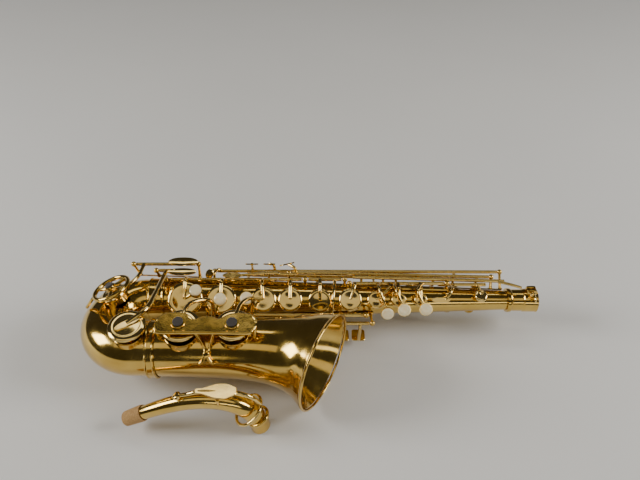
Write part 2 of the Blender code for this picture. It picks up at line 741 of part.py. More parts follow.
def bell_key_guard():
    middle = guard_point(GUARD_MIDDLE, 0, 0)
    normal = guard_point(GUARD_MIDDLE, 0, 1) - middle
    flat = []
    for s, across in GUARD_OUTLINE:
        point = guard_point(s, across, 0)
        flat.append(point - normal * (point - middle).dot(normal))
    meshes = [slab(flat, normal, 2.0), solid([point + normal for point in flat[:GUARD_EDGE]], 2.2, 8)]
    for hole in ("low_b", "low_bb"):
        point = guard_point(BELL_HOLES[hole][0], 0, 0)
        centre = point - normal * (point - middle).dot(normal)
        meshes.append(turned(centre, normal, ((-1.6, 8.5), (4.0, 8.5)), 16))
        felt = turned(centre, normal, ((4.0 + GAP, 6.0), (6.0, 6.0)), 12)
        piece("guard_felt_" + hole, "felt", [felt])
    for s, corner in ((24.0, flat[1]), (138.0, flat[GUARD_EDGE - 1])):
        foot = around_bell(s, 72.0, bell_radius(s) + GAP + 1.4)
        meshes.append(solid([corner + normal * 0.5, foot], 2.2, 8))
    for side in (-1, 1):
        leg = [guard_point(GUARD_MIDDLE + side * 11, 12.0, 0.5)]
        for away, angle in ((4.0, 56), (1.5, 46), (1.5, 38), (5.0, 29), (9.0, 24)):
            s = GUARD_MIDDLE + side * away
            leg.append(around_bell(s, angle, bell_radius(s) + GAP + 2.5))
        meshes.append(solid(leg, 1.9, 8))
    boss = around_bell(GUARD_MIDDLE, 42, bell_radius(GUARD_MIDDLE) + GAP + 1.0)
    away = around_bell(GUARD_MIDDLE, 42, 1.0) - bell_centre(GUARD_MIDDLE)[0]
    meshes.append(turned(boss, away, ((0.0, 3.8), (5.0, 3.8)), 10))
    piece("bell_key_guard", "lacquer", meshes)


def bell_brace():
    foot = around_body(-138, -42, body_radius(-138) + GAP + 0.3)
    away = around_body(0, -42, 1.0)
    bell_foot = around_bell(75, 218, bell_radius(75) + GAP + 0.5)
    bell_away = (bell_foot - bell_centre(75)[0]).normalized()
    meshes = [turned(foot, away, ((0.0, 8.0), (2.0, 8.0)), 12)]
    meshes.append(turned(bell_foot, bell_away, ((0.0, 8.0), (2.0, 8.0)), 12))
    bar = [foot + away, foot + away * 8, bell_foot + bell_away * 8, bell_foot + bell_away]
    meshes.append(solid(bar, 3.4, 8))
    piece("bell_brace", "lacquer", meshes)


# ---------------------------------------------------------------- side keys

SIDE_RODS = {
    "high_f_sharp_key": (Vector((-140, 29.5, 26.5)), Vector((241, 27.0, 27.0))),
    "high_e_key": (Vector((-38, 21.5, 31.0)), Vector((228, 18.5, 26.0))),
    "side_c_key": (Vector((-66, 35.5, 19.0)), Vector((100, 33.5, 17.0))),
    "side_bb_key": (Vector((-96, 38.5, 9.0)), Vector((70, 36.0, 8.0))),
}
# Touch plates: x, direction of the long side, half its length.
SIDE_TOUCHES = {
    "high_e_key": (-45.0, (1, 0, 0.3), 11.0),
    "side_c_key": (-69.0, (1, 0, 0), 8.5),
    "side_bb_key": (-93.0, (1, 0, 0), 9.0),
}
SIDE_CUPS = {"high_f_sharp_key": 8.2, "high_e_key": 8.2, "side_c_key": 10.4, "side_bb_key": 11.0}


def side_touch(node, start):
    """The plate that the finger presses, and its stem."""
    if node == "high_f_sharp_key":
        centre = Vector((-149.5, 20.5, 30.0))
        plate = slab(oval(centre, (1, 0, 0.3), (0, 0.6, 0.8), 6.0, 6.6), (0, -0.8, 0.6), 1.8)
        stem = [start + Vector((4, 0, 0)), Vector((-138, 28, 31)), centre + Vector((2, 0, 1))]
        return [plate, arm(stem, 2.2, 2.0)]
    x, along, half = SIDE_TOUCHES[node]
    centre = Vector((x, 33.0, 35.0))
    plate = slab(oval(centre, along, (0, 0.74, -0.67), half, 6.0), (0, 0.67, 0.74), 1.8)
    if node == "high_e_key":
        stem = [start + Vector((5, 0, 0)), start + Vector((4, 2, 7)), centre + Vector((2, -2, 3))]
    else:
        stem = [start + Vector((4, 0, 0)), start + Vector((2, 4, 9)), centre + Vector((0, 1, 0.5))]
    return [arm(stem, 2.2, 2.0), plate]


def side_keys():
    for node, (start, end) in SIDE_RODS.items():
        seat, normal = closed_seat(node.removesuffix("_key"))
        radius = SIDE_CUPS[node]
        back = seat + normal * (CUP_HEIGHT + 0.4)
        share = (seat.x - start.x) / (end.x - start.x)
        root = start.lerp(end, share)
        bow_out = (root + back) / 2 + Vector((0, 4.0, 2.0))
        meshes = [hinge(start, end), arm([root, bow_out, back], 2.2, 1.8), key_cup(seat, normal, radius)]
        piece(node, "key_lacquer", meshes + side_touch(node, start), pivot=start)


def side_key_rail():
    posts = []
    clear = Vector((BALL + GAP + 0.05, 0, 0))
    for start, end in SIDE_RODS.values():
        for head in (start - clear, end + clear):
            posts.append((head.x, head))
    rail("side_key_rail", -148, 248, 131, posts, width=6.0)


def trill_key():
    start = Vector((-60, 13.5, 36.5))
    end = Vector((-32, 13.5, 36.0))
    reach = [start + Vector((6, 0, 0)), Vector((-68, 12, 40)), Vector((-112, 6, 41))]
    meshes = [hinge(start, end), arm(reach, 2.4, 2.0)]
    meshes.append(slab(oval(Vector((-116, 6, 41)), (1, 0, 0), (0, 1, 0.2), 13, 4.5), (0, -0.2, 1), 1.8))
    piece("trill_f_sharp_key", "key_lacquer", meshes, pivot=start)


# ---------------------------------------------------------------- left-hand and thumb side

# Palm keys: angle of the hinge, then the touch's x, angle and height over the body.
PALM_KEYS = {
    "palm_d": (240.0, 100.0, 222.0, 15.0),
    "palm_eb": (228.0, 117.0, 203.0, 15.5),
    "palm_f": (238.0, 177.0, 198.0, 18.0),
}


def palm_keys():
    for hole, (hinge_angle, touch_x, touch_angle, touch_lift) in PALM_KEYS.items():
        seat, normal = closed_seat(hole)
        radius = BODY_HOLES[hole][2] + 2.2
        x = seat.x - 14
        pivot = around_body(x, hinge_angle - 18, body_radius(x) + 9.0)
        along = around_body(0, hinge_angle - 18, 1.0)
        tangent = Vector((1, 0, 0)).cross(along).normalized()
        tube = solid([pivot - tangent * 5, pivot + tangent * 5], ROD, 8)
        back = seat + normal * (CUP_HEIGHT + 0.4)
        touch = around_body(touch_x, touch_angle, body_radius(touch_x) + touch_lift)
        facing = around_body(0, touch_angle, 1.0)
        side = Vector((1, 0, 0)).cross(facing).normalized()
        plate = slab(oval(touch, (1, 0, 0), side, 13, 6.5), facing, 2.0)
        lever = arm([touch + facing * 0.8, pivot, back], 2.4, 2.0)
        piece(hole + "_key", "key_lacquer", [tube, lever, key_cup(seat, normal, radius), plate], pivot=pivot)


def thumb_pieces():
    base = around_body(-8, 180, body_radius(-8) + GAP)
    corners = ((-12, -5), (12, -5), (12, 5), (-12, 5))
    plate = slab([base + Vector((x, 0, z)) for x, z in corners], (0, 1, 0), 2.0)
    line = ((6, 1, 0), (5, 14, 0), (-3, 23, 0), (-12, 24.36, 0))
    hook = solid([base + Vector(step) for step in line], [3.6, 3.4, 3.2, 2.6], 8)
    piece("thumb_hook", "lacquer", [plate, hook])
    base = around_body(28, 204, body_radius(28) + GAP)
    out = around_body(0, 204, 1.0)
    tangent = Vector((1, 0, 0)).cross(out).normalized()
    corners = ((-8, -5), (8, -5), (8, 5), (-8, 5))
    plate = slab([base + Vector((x, 0, 0)) + tangent * y for x, y in corners], out, 2.0)
    ring = hoop(base + out * 10.5, out, tangent, 8.0, 2.2, 14)
    piece("strap_ring", "lacquer", [plate, ring])
    base = around_body(124, 180, body_radius(124) + GAP)
    out = around_body(0, 180, 1.0)
    piece("thumb_rest", "lacquer", [turned(base, out, ((0.0, 9.0), (4.0, 10.0), (6.0, 8.5)), 16)])


def octave_keys():
    pivot = around_body(137, 180, body_radius(137) + 7.0)
    out = around_body(0, 180, 1.0)
    across = Vector((1, 0, 0)).cross(out).normalized()
    tube = solid([pivot - across * 6, pivot + across * 6], ROD, 8)
    touch = slab(oval(pivot + Vector((-3, 0, 0)) + out * 1.4, (1, 0, 0), across, 9, 5.5), out, 1.8)
    tail = arm([pivot, pivot + Vector((16, 0, 0)) + out * 0.5], 2.2, 1.8)
    piece("octave_thumb_key", "key_lacquer", [tube, touch, tail], pivot=pivot)
    start = Vector((44, 12.7, 31.5))
    end = Vector((248, 10.9, 25.5))
    ring = [end + Vector((-9, 0, 0)), Vector((255, 2, 28)), Vector((268, -3, 27.5))]
    foot = [start.lerp(end, 0.53), Vector((152, 10, 19.5)), Vector((152, 20, 12)), Vector((153, 25, 4))]
    meshes = [hinge(start, end), arm(ring, 2.2, 1.8), arm(foot, 2.2, 1.8)]
    piece("octave_rod_key", "key_lacquer", meshes, pivot=start)


# ---------------------------------------------------------------- neck

NECK_Y = -162.0
# The neck's centre line, from the tenon: x and height over the floor.
NECK_LINE = ((-72, 4), (-75, 18), (-81, 33), (-92, 46), (-108, 55), (-128, 58.5), (-150, 56), (-172, 49),
             (-192, 40), (-210, 30.5), (-224, 22.5))
NECK_RADII = (12.2, 12.2, 11.9, 11.5, 11.1, 10.6, 10.0, 9.4, 8.8, 8.2, 7.8)


NECK_WALL = 1.4


def on_neck(x, height, across=0.0):
    return Vector((x, NECK_Y + across, FLOOR + height))


def neck():
    path = [on_neck(x, height) for x, height in NECK_LINE]
    inner = [radius - NECK_WALL for radius in NECK_RADII]
    band = pipe([on_neck(-73.2, 21), on_neck(-75.0, 25)], [14.6, 14.6], [10.8, 10.8], 16)
    vent = solid([on_neck(-166, 55), on_neck(-163, 62.5)], 2.6, 8)
    saddle = []
    for side in (-1, 1):
        saddle.append(solid([on_neck(-116, 60, side * 8.0), on_neck(-116, 72, side * 9.5)], 2.2, 8))
    piece("neck_tube", "lacquer", [pipe(path, NECK_RADII, inner, 16), band, vent] + saddle)
    along = path[-1] - path[-2]
    tail = [path[-1] - along * 1.1, path[-1] + along * 0.55]
    end = NECK_RADII[-1] + GAP
    piece("neck_cork", "cork", [pipe(tail, [end + 1.9, end + 0.9], [end + 0.75, end + 0.1], 16)])


def neck_octave_key():
    pivot = on_neck(-116, 73)
    tube = solid([on_neck(-116, 73, y) for y in (-6.6, 6.6)], 2.4, 10)
    vent_top = on_neck(-163, 62.5)
    axis = Vector((-0.37, 0, 0.93)).normalized()
    cup = turned(vent_top + Vector((-0.2, 0, 1.4)), axis, ((0.4, 5.0), (3.4, 5.2), (4.6, 3.4)), 14)
    spine = arm([pivot, on_neck(-138, 73.5), on_neck(-152, 69), vent_top + Vector((-1, 0, 4.0))], 3.0, 2.2)
    half = ((-142, 2.4), (-134, 3.6), (-126, 7.0), (-118, 9.6), (-108, 9.8), (-100, 7.0), (-95, 3.6))
    edge = [on_neck(x, 74, -width) for x, width in half]
    edge += [on_neck(x, 74, width) for x, width in reversed(half)]
    saddle = slab(edge, (0, 0, 1), 2.0)
    centre = on_neck(-84, 37)
    tilt = Vector((0.80, 0, 0.6))
    ring = hoop(centre, Vector((0, 1, 0)), tilt, 19.0, 2.0, 20)
    link = arm([on_neck(-100, 73.5), on_neck(-80, 64), centre + tilt * 19.0], 3.0, 2.4)
    piece("neck_octave_key", "key_lacquer", [tube, spine, cup, saddle, link, ring], pivot=pivot)


def c_sharp_guard():
    seat, normal = bell_seat("low_c_sharp")
    s, angle, _ = BELL_HOLES["low_c_sharp"]
    along = bell_centre(s)[1]
    centre = seat + normal * 13.0
    bar = solid([centre - along * 24, centre + along * 24], 3.0, 8, 0.6)
    meshes = [bar]
    for sign in (-1, 1):
        foot = around_bell(s + 24 * sign, angle, bell_radius(s + 24 * sign) + GAP + 0.8)
        meshes.append(solid([centre + along * (22 * sign), foot], 2.2, 8))
    piece("low_c_sharp_guard", "lacquer", meshes)


if __name__ == "__main__":
    clear_scene()
    body_tube()
    bow()
    bell()
    bell_rim()
    ferrules()
    neck_receiver()
    neck_screw()
    rails()
    stack_keys()
    c_key()
    pinky_rail()
    low_eb_key()
    low_c_key()
    low_eb_guard()
    bell_keys()
    bell_key_rail()
    bell_key_guard()
    bell_brace()
    side_keys()
    side_key_rail()
    trill_key()
    palm_keys()
    thumb_pieces()
    octave_keys()
    neck()
    neck_octave_key()
    c_sharp_guard()
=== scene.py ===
"""Looks of the alto saxophone: fine pieces, procedural materials, light and camera.

The same millimetre layout as the CAD: +X from the bow to the neck socket along the body
tube, -Y towards the bell, +Z up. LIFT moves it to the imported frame.
"""

import json
import math

import bmesh
import bpy
from mathutils import Matrix, Vector


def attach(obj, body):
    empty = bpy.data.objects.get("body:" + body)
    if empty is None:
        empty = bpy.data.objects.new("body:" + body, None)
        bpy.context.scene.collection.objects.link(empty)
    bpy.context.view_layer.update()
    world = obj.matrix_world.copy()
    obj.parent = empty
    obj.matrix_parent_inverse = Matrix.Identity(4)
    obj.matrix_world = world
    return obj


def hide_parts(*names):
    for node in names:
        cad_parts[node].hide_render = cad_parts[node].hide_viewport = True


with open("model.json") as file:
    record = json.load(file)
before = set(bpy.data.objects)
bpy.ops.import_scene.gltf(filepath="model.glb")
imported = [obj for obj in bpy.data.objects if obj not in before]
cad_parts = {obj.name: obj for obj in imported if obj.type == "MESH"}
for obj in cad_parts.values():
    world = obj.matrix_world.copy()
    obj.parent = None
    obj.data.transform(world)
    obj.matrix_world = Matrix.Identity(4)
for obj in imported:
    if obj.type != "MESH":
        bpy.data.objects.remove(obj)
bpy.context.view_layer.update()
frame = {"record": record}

MM = 0.001
GAP = 0.3
BODY_START = -214.0
BODY_END = 252.0
BODY_RADIUS_START = 28.2
BODY_RADIUS_END = 13.0
WALL = 1.5
BOW_CENTRE_X = -230.0
BOW_ARC = 45.5
BOW_RISE = 12.0
BOW_GROWTH = 5.4
BELL_START = -214.0
BELL_LENGTH = 219.0
BELL_JOINT = 10.0
BELL_TILT = math.radians(27.0)
BELL_PROFILE = ((0, 33.6), (60, 35.2), (110, 37.0), (145, 39.8), (170, 44.0), (190, 50.0), (206, 56.8),
                (219, 61.5))
RECEIVER_END = 293.0
RECEIVER_RADIUS = 14.8
PEARL_RADIUS = 7.8
PEARL_HOLDER_RADIUS = 8.0
BORE_RADIUS = 12.4
ROD = 2.4
BALL = 3.6
FLOOR = -50.0
CUP_HEIGHT = 5.0
STACK_OPEN = 9.0
BELL_KEY_OPEN = 4.5
LOW_C_OPEN = 4.0
CHIMNEY = 2.6
CUP_BACK = CUP_HEIGHT + 0.4
SHARP_EDGE = math.radians(38)

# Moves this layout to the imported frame.
LIFT = Vector((6.7, 67.1, 50.2))
X_AXIS = Vector((1, 0, 0))


# ---- materials

class Look:
    """A procedural material being built."""

    def __init__(self, name):
        self.material = bpy.data.materials.new(name)
        self.material.use_nodes = True
        self.nodes = self.material.node_tree.nodes
        self.link = self.material.node_tree.links.new
        self.inputs = self.nodes["Principled BSDF"].inputs

    def noise(self, scale, detail, roughness=0.55, stretch=(1.0, 1.0, 1.0)):
        place = self.nodes.new("ShaderNodeTexCoord")
        mapping = self.nodes.new("ShaderNodeMapping")
        mapping.inputs["Scale"].default_value = stretch
        texture = self.nodes.new("ShaderNodeTexNoise")
        for socket, value in (("Scale", scale), ("Detail", detail), ("Roughness", roughness)):
            texture.inputs[socket].default_value = value
        self.link(place.outputs["Object"], mapping.inputs["Vector"])
        self.link(mapping.outputs["Vector"], texture.inputs["Vector"])
        return texture.outputs["Fac"]

    def ramp(self, value, stops, socket):
        """Drives a shader input through colour stops."""
        result = self.nodes.new("ShaderNodeValToRGB")
        elements = result.color_ramp.elements
        while len(elements) < len(stops):
            elements.new(0.5)
        for element, (place, colour) in zip(elements, stops):
            element.position = place
            element.color = (*colour, 1.0)
        self.link(value, result.inputs["Fac"])
        self.link(result.outputs["Color"], self.inputs[socket])

    def bump(self, value, strength, distance):
        result = self.nodes.new("ShaderNodeBump")
        result.inputs["Strength"].default_value = strength
        result.inputs["Distance"].default_value = distance
        self.link(value, result.inputs["Height"])
        self.link(result.outputs["Normal"], self.inputs["Normal"])

    def set(self, values):
        for socket, value in values.items():
            self.inputs[socket].default_value = value


def lacquered_brass(name, deep, light, smooth, rough, ripple):
    """Polished brass under clear lacquer: uneven gold tone, handling haze, fine ripple."""
    look = Look(name)
    look.ramp(look.noise(22.0, 5.0), ((0.30, deep), (0.70, light)), "Base Color")
    look.ramp(look.noise(70.0, 8.0, 0.65), ((0.35, [smooth] * 3), (0.75, [rough] * 3)), "Roughness")
    look.bump(look.noise(130.0, 3.0), ripple, 0.0003)
    look.set({"Metallic": 1.0, "Coat Weight": 0.35, "Coat Roughness": 0.06})
    return look.material


def grained(name, grain, stops, relief, values):
    """A material whose colour and relief follow the same noise."""
    look = Look(name)
    value = look.noise(*grain)
    look.ramp(value, stops, "Base Color")
    look.set(values)
    look.bump(value, *relief)
    return look.material


MATERIALS = {
    "lacquer": lacquered_brass("brass_body", (0.62, 0.39, 0.075), (0.80, 0.56, 0.15), 0.09, 0.21, 0.10),
    "key_lacquer": lacquered_brass("brass_keys", (0.72, 0.50, 0.14), (0.88, 0.67, 0.26), 0.07, 0.17, 0.05),
    "pearl": grained("pearl_shell", (260.0, 4.0, 0.6, (1.0, 1.6, 1.0)),
                     ((0.30, (1.0, 0.76, 0.38)), (0.55, (1.0, 0.88, 0.56)), (0.80, (1.0, 0.88, 0.62))),
                     (0.05, 0.0002), {"Roughness": 0.18, "Coat Weight": 0.6, "Sheen Weight": 0.15}),
    "pad": grained("pad_leather", (900.0, 6.0, 0.7),
                   ((0.3, (0.055, 0.028, 0.016)), (0.8, (0.12, 0.062, 0.034))),
                   (0.35, 0.0003), {"Roughness": 0.55}),
    "felt": grained("bumper_felt", (1500.0, 8.0, 0.8),
                    ((0.3, (0.020, 0.016, 0.014)), (0.8, (0.075, 0.062, 0.052))),
                    (0.7, 0.0006), {"Roughness": 0.95, "Sheen Weight": 0.4}),
    "cork": grained("neck_cork_sleeve", (420.0, 7.0, 0.75, (1.0, 1.0, 2.0)),
                    ((0.28, (0.17, 0.08, 0.025)), (0.42, (0.44, 0.25, 0.09)), (0.75, (0.64, 0.41, 0.17))),
                    (0.5, 0.0005), {"Roughness": 0.85}),
}


# ---- placing points

def body_radius(x):
    share = (x - BODY_START) / (BODY_END - BODY_START)
    return BODY_RADIUS_START + share * (BODY_RADIUS_END - BODY_RADIUS_START)


def around_body(x, degrees, radius):
    turn = math.radians(degrees)
    return Vector((x, -radius * math.cos(turn), radius * math.sin(turn)))


def on_body(x, degrees, lift):
    """A point this far over the body tube's skin."""
    return around_body(x, degrees, body_radius(x) + lift)


def outward(degrees):
    return around_body(0, degrees, 1.0)


def across_tube(out):
    return X_AXIS.cross(out).normalized()


def bell_centre(s):
    lean = BELL_TILT * (s / BELL_LENGTH) ** 4
    steps = 24
    x = BELL_START
    y = -2 * BOW_ARC
    for step in range(steps):
        part_lean = BELL_TILT * ((step + 0.5) / steps * s / BELL_LENGTH) ** 4
        x += math.cos(part_lean) * s / steps
        y -= math.sin(part_lean) * s / steps
    return Vector((x, y, BOW_RISE)), Vector((math.cos(lean), -math.sin(lean), 0.0))


def bell_radius(s):
    """A smooth curve through the flare's points."""
    points = BELL_PROFILE
    for index in range(len(points) - 1):
        (s0, r0), (s1, r1) = points[index], points[index + 1]
        if s <= s1:
            before = points[max(index - 1, 0)]
            after = points[min(index + 2, len(points) - 1)]
            slope0 = (r1 - before[1]) / (s1 - before[0])
            slope1 = (after[1] - r0) / (after[0] - s0)
            t = (s - s0) / (s1 - s0)
            width = s1 - s0
            return ((2 * t ** 3 - 3 * t ** 2 + 1) * r0 + (t ** 3 - 2 * t ** 2 + t) * width * slope0
                    + (3 * t ** 2 - 2 * t ** 3) * r1 + (t ** 3 - t ** 2) * width * slope1)
    return points[-1][1]


def around_bell(s, degrees, radius):
    centre, along = bell_centre(s)
    side = Vector((-along.y, along.x, 0.0))
    turn = math.radians(degrees)
    return centre - side * (radius * math.cos(turn)) + Vector((0, 0, radius * math.sin(turn)))


def on_bell(s, degrees, lift):
    return around_bell(s, degrees, bell_radius(s) + lift)


# ---- shapes

class Shape:
    """A mesh being built, in millimetres."""

    def __init__(self):
        self.bm = bmesh.new()

    def ring(self, centre, side, up, radius, count, squash=1.0):
        result = []
        for step in range(count):
            turn = 2 * math.pi * step / count
            result.append(self.bm.verts.new(centre + side * (radius * math.cos(turn))
                                            + up * (radius * squash * math.sin(turn))))
        return result

    def skin(self, one, two):
        count = len(one)
        for step in range(count):
            after = (step + 1) % count
            self.bm.faces.new((one[step], one[after], two[after], two[step]))

    def loft(self, rings, closed=True):
        """Joins the rings in turn; the ends are capped, or joined when not closed."""
        for one, two in zip(rings, rings[1:]):
            self.skin(one, two)
        if closed:
            self.bm.faces.new(list(reversed(rings[0])))
            self.bm.faces.new(rings[-1])
        else:
            self.skin(rings[-1], rings[0])
        return self

    def tube(self, path, radii, count, squash=1.0):
        """A solid bar along a path, its ends softened."""
        path = [Vector(point) for point in path]
        if not isinstance(radii, (list, tuple)):
            radii = [radii] * len(path)
        sides = frames_along(path)
        first = end_stations(path[0], (path[0] - path[1]).normalized(), sides[0], radii[0])
        last = end_stations(path[-1], (path[-1] - path[-2]).normalized(), sides[-1], radii[-1])
        stations = first + list(zip(path[1:-1], sides[1:-1], radii[1:-1])) + list(reversed(last))
        return self.loft([self.ring(point, side, up, radius, count, squash)
                          for point, (side, up), radius in stations])

    def pipe(self, path, outer, inner, count):
        path = [Vector(point) for point in path]
        outside = []
        inside = []
        for point, (side, up), big, small in zip(path, frames_along(path), outer, inner):
            outside.append(self.ring(point, side, up, big, count))
            inside.append(self.ring(point, side, up, small, count))
        return self.loft(outside + list(reversed(inside)), closed=False)

    def turned(self, centre, normal, profile, count, closed=True):
        """A turned shape: profile is (distance along the normal, radius) pairs."""
        centre = Vector(centre)
        normal = Vector(normal).normalized()
        side = normal.orthogonal().normalized()
        up = normal.cross(side)
        rings = [self.ring(centre + normal * distance, side, up, max(radius, 0.02), count)
                 for distance, radius in profile]
        return self.loft(rings, closed)

    def hoop(self, centre, side, up, radius, thick, count, sides):
        """A ring of round bar."""
        normal = side.cross(up)
        rings = []
        for step in range(count):
            turn = 2 * math.pi * step / count
            out = side * math.cos(turn) + up * math.sin(turn)
            rings.append(self.ring(centre + out * radius, out, normal, thick, sides))
        return self.loft(rings, closed=False)

    def ball(self, centre):
        turns = [math.pi * step / 12 for step in range(13)]
        profile = [(-BALL * math.cos(turn), BALL * math.sin(turn)) for turn in turns]
        return self.turned(centre, X_AXIS, profile, 20)

    def slab(self, outline, normal, thickness, soft=0.5, dish=0.0):
        """A plate with softened edges; dish sinks its middle."""
        lift = Vector(normal).normalized()
        points = [Vector(point) for point in outline]
        middle = sum(points, Vector()) / len(points)
        levels = ((0.0, soft), (soft, 0.0), (thickness - soft, 0.0), (thickness, soft))
        rings = []
        for height, inset in levels:
            rings.append([self.bm.verts.new(point + (middle - point).normalized() * inset + lift * height)
                          for point in points])
        if dish:
            for share, sink in ((0.80, 0.35), (0.50, 0.85), (0.15, 1.0)):
                high = lift * (thickness - dish * sink)
                rings.append([self.bm.verts.new(middle + (point - middle) * share + high)
                              for point in points])
        return self.loft(rings)


def frames_along(path):
    tangents = []
    for index in range(len(path)):
        before = path[max(index - 1, 0)]
        after = path[min(index + 1, len(path) - 1)]
        tangents.append((after - before).normalized())
    first = tangents[0]
    helper = Vector((0, 0, 1)) if abs(first.z) < 0.9 else Vector((0, 1, 0))
    side = first.cross(helper).normalized()
    result = []
    for tangent in tangents:
        side = (side - tangent * side.dot(tangent)).normalized()
        result.append((side, tangent.cross(side)))
    return result


def end_stations(point, outward, sides, radius):
    soft = min(radius * 0.35, 0.8)
    return [(point, sides, radius - soft), (point - outward * soft * 0.3, sides, radius - soft * 0.3),
            (point - outward * soft, sides, radius)]


def smooth_path(points, parts=6):
    """A smooth curve through the points."""
    points = [Vector(point) for point in points]
    if len(points) < 3:
        return [points[0].lerp(points[-1], step / parts) for step in range(parts + 1)]
    result = []
    for index in range(len(points) - 1):
        p0 = points[max(index - 1, 0)]
        p1 = points[index]
        p2 = points[index + 1]
        p3 = points[min(index + 2, len(points) - 1)]
        for step in range(parts):
            t = step / parts
            result.append(0.5 * ((2 * p1) + (p2 - p0) * t + (2 * p0 - 5 * p1 + 4 * p2 - p3) * t ** 2
                                 + (3 * p1 - p0 - 3 * p2 + p3) * t ** 3))
    result.append(points[-1])
    return result


def oval(centre, along, across, half_length, half_width, count=40):
    along = Vector(along).normalized()
    across = Vector(across).normalized()
    points = []
    for step in range(count):
        turn = 2 * math.pi * step / count
        points.append(Vector(centre) + along * (half_length * math.cos(turn))
                      + across * (half_width * math.sin(turn)))
    return points


def add_object(name, data):
    obj = bpy.data.objects.new(name, data)
    bpy.context.scene.collection.objects.link(obj)
    return obj


def shade(mesh):
    mesh.shade_smooth()
    mesh.set_sharp_from_angle(angle=SHARP_EDGE)


def mesh_in_frame(name, bm):
    """The finished mesh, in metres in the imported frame."""
    bmesh.ops.transform(bm, matrix=Matrix.Scale(MM, 4) @ Matrix.Translation(LIFT), verts=bm.verts[:])
    mesh = bpy.data.meshes.new(name)
    bm.to_mesh(mesh)
    bm.free()
    return mesh


def make(name, slot, shape, body, nodes=(), pivot=None, opened=0.0):
    """Turns a shape into a piece that rides on a body and stands for CAD nodes."""
    bm = shape.bm
    bmesh.ops.recalc_face_normals(bm, faces=bm.faces[:])
    if opened:
        turn = Matrix.Rotation(math.radians(-opened), 4, "X")
        place = Matrix.Translation(pivot) @ turn @ Matrix.Translation(-pivot)
        bmesh.ops.transform(bm, matrix=place, verts=bm.verts[:])
    mesh = mesh_in_frame(name, bm)
    shade(mesh)
    mesh.materials.append(MATERIALS[slot])
    obj = add_object(name, mesh)
    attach(obj, body)
    if nodes:
        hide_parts(*nodes)
    return obj


def node_body(node):
    for body, nodes in frame["record"]["behaviour"]["bodies"].items():
        if node in nodes:
            return body
    raise ValueError(node)


def piece(node, slot, shape, pivot=None, opened=0.0):
    return make(node + "_fine", slot, shape, node_body(node), [node], pivot, opened)


def cut_holes(obj, cutters):
    """Cuts the closed shapes out of a piece's mesh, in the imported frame."""
    tool = Shape()
    for kind, values in cutters:
        getattr(tool, kind)(*values)
    bmesh.ops.recalc_face_normals(tool.bm, faces=tool.bm.faces[:])
    other = add_object("tool", mesh_in_frame("tool", tool.bm))
    modifier = obj.modifiers.new("holes", "BOOLEAN")
    modifier.operation = "DIFFERENCE"
    modifier.solver = "EXACT"
    modifier.object = other
    bpy.context.view_layer.update()
    graph = bpy.context.evaluated_depsgraph_get()
    result = bpy.data.meshes.new_from_object(obj.evaluated_get(graph))
    obj.modifiers.clear()
    obj.data = result
    bpy.data.objects.remove(other, do_unlink=True)
    shade(obj.data)


# ---- body, bow and bell

BODY_HOLES = {
    "d": (-176.0, 45.0, 20.0),
    "e": (-129.0, 45.0, 17.0),
    "f": (-74.0, 45.0, 14.0),
    "f_sharp": (-39.0, 45.0, 13.5),
    "g": (0.0, 45.0, 13.5),
    "a": (40.0, 45.0, 13.0),
    "b": (74.0, 45.0, 9.5),
    "bis": (104.0, 45.0, 8.0),
    "c": (133.0, 45.0, 7.0),
    "front": (214.0, 62.0, 6.0),
    "side_bb": (58.0, 205.0, 8.5),
    "side_c": (88.0, 190.0, 8.0),
    "high_f_sharp": (184.0, 180.0, 6.0),
    "high_e": (215.0, 180.0, 6.0),
    "palm_d": (150.0, 262.0, 6.5),
    "palm_eb": (176.0, 255.0, 6.0),
    "palm_f": (206.0, 262.0, 5.5),
}
LOW_C_HOLE = (Vector((-228.0, -95.8, 49.0)), Vector((0.0, -0.13, 0.99)).normalized(), 18.3)
LOW_EB_HOLE = (Vector((-264, -26, 39.6)), Vector((-0.35, 0.18, 1.0)).normalized(), 14.5)
BELL_HOLES = {"low_b": (112.0, 82.0, 19.5), "low_bb": (49.0, 82.0, 20.5), "low_c_sharp": (96.0, 262.0, 17.0)}


def chimney(shape, centre, axis, root, height, radius):
    """A drawn tone hole: a short tube with a rolled lip."""
    inner = radius - WALL
    profile = ((root, radius + 0.6), (height - 3.0, radius), (height - 0.9, radius - 0.2),
               (height - 0.3, radius), (height, radius - 0.4), (height, inner + 0.3), (height - 0.4, inner),
               (root, inner))
    shape.turned(centre, axis, profile, 44, closed=False)


def tone_holes(name, obj, holes, count):
    """Opens a tube's holes and adds their chimneys; reach is where each cut begins and ends."""
    cutters = []
    lips = Shape()
    for centre, axis, reach, root, height, radius in holes:
        bore = [(distance, radius - WALL) for distance in reach]
        cutters.append(("turned", (centre, axis, bore, count)))
        chimney(lips, centre, axis, root, height, radius)
    cut_holes(obj, cutters)
    make(name, "lacquer", lips, "body")


def body_tube():
    shape = Shape()
    xs = [BODY_START + (BODY_END - BODY_START) * step / 40 for step in range(41)]
    radii = [body_radius(x) for x in xs]
    path = [(x, 0, 0) for x in xs]
    shape.pipe(path, radii, [radius - WALL for radius in radii], 72)
    obj = piece("body_tube", "lacquer", shape)
    holes = []
    for x, angle, radius in BODY_HOLES.values():
        top = body_radius(x) + CHIMNEY
        root = math.sqrt(max(body_radius(x) ** 2 - radius ** 2, 40.0)) - 1.0
        holes.append(((x, 0, 0), outward(angle), (top * 0.4, top + 2), root, top, radius))
    tone_holes("body_tone_holes", obj, holes, 44)


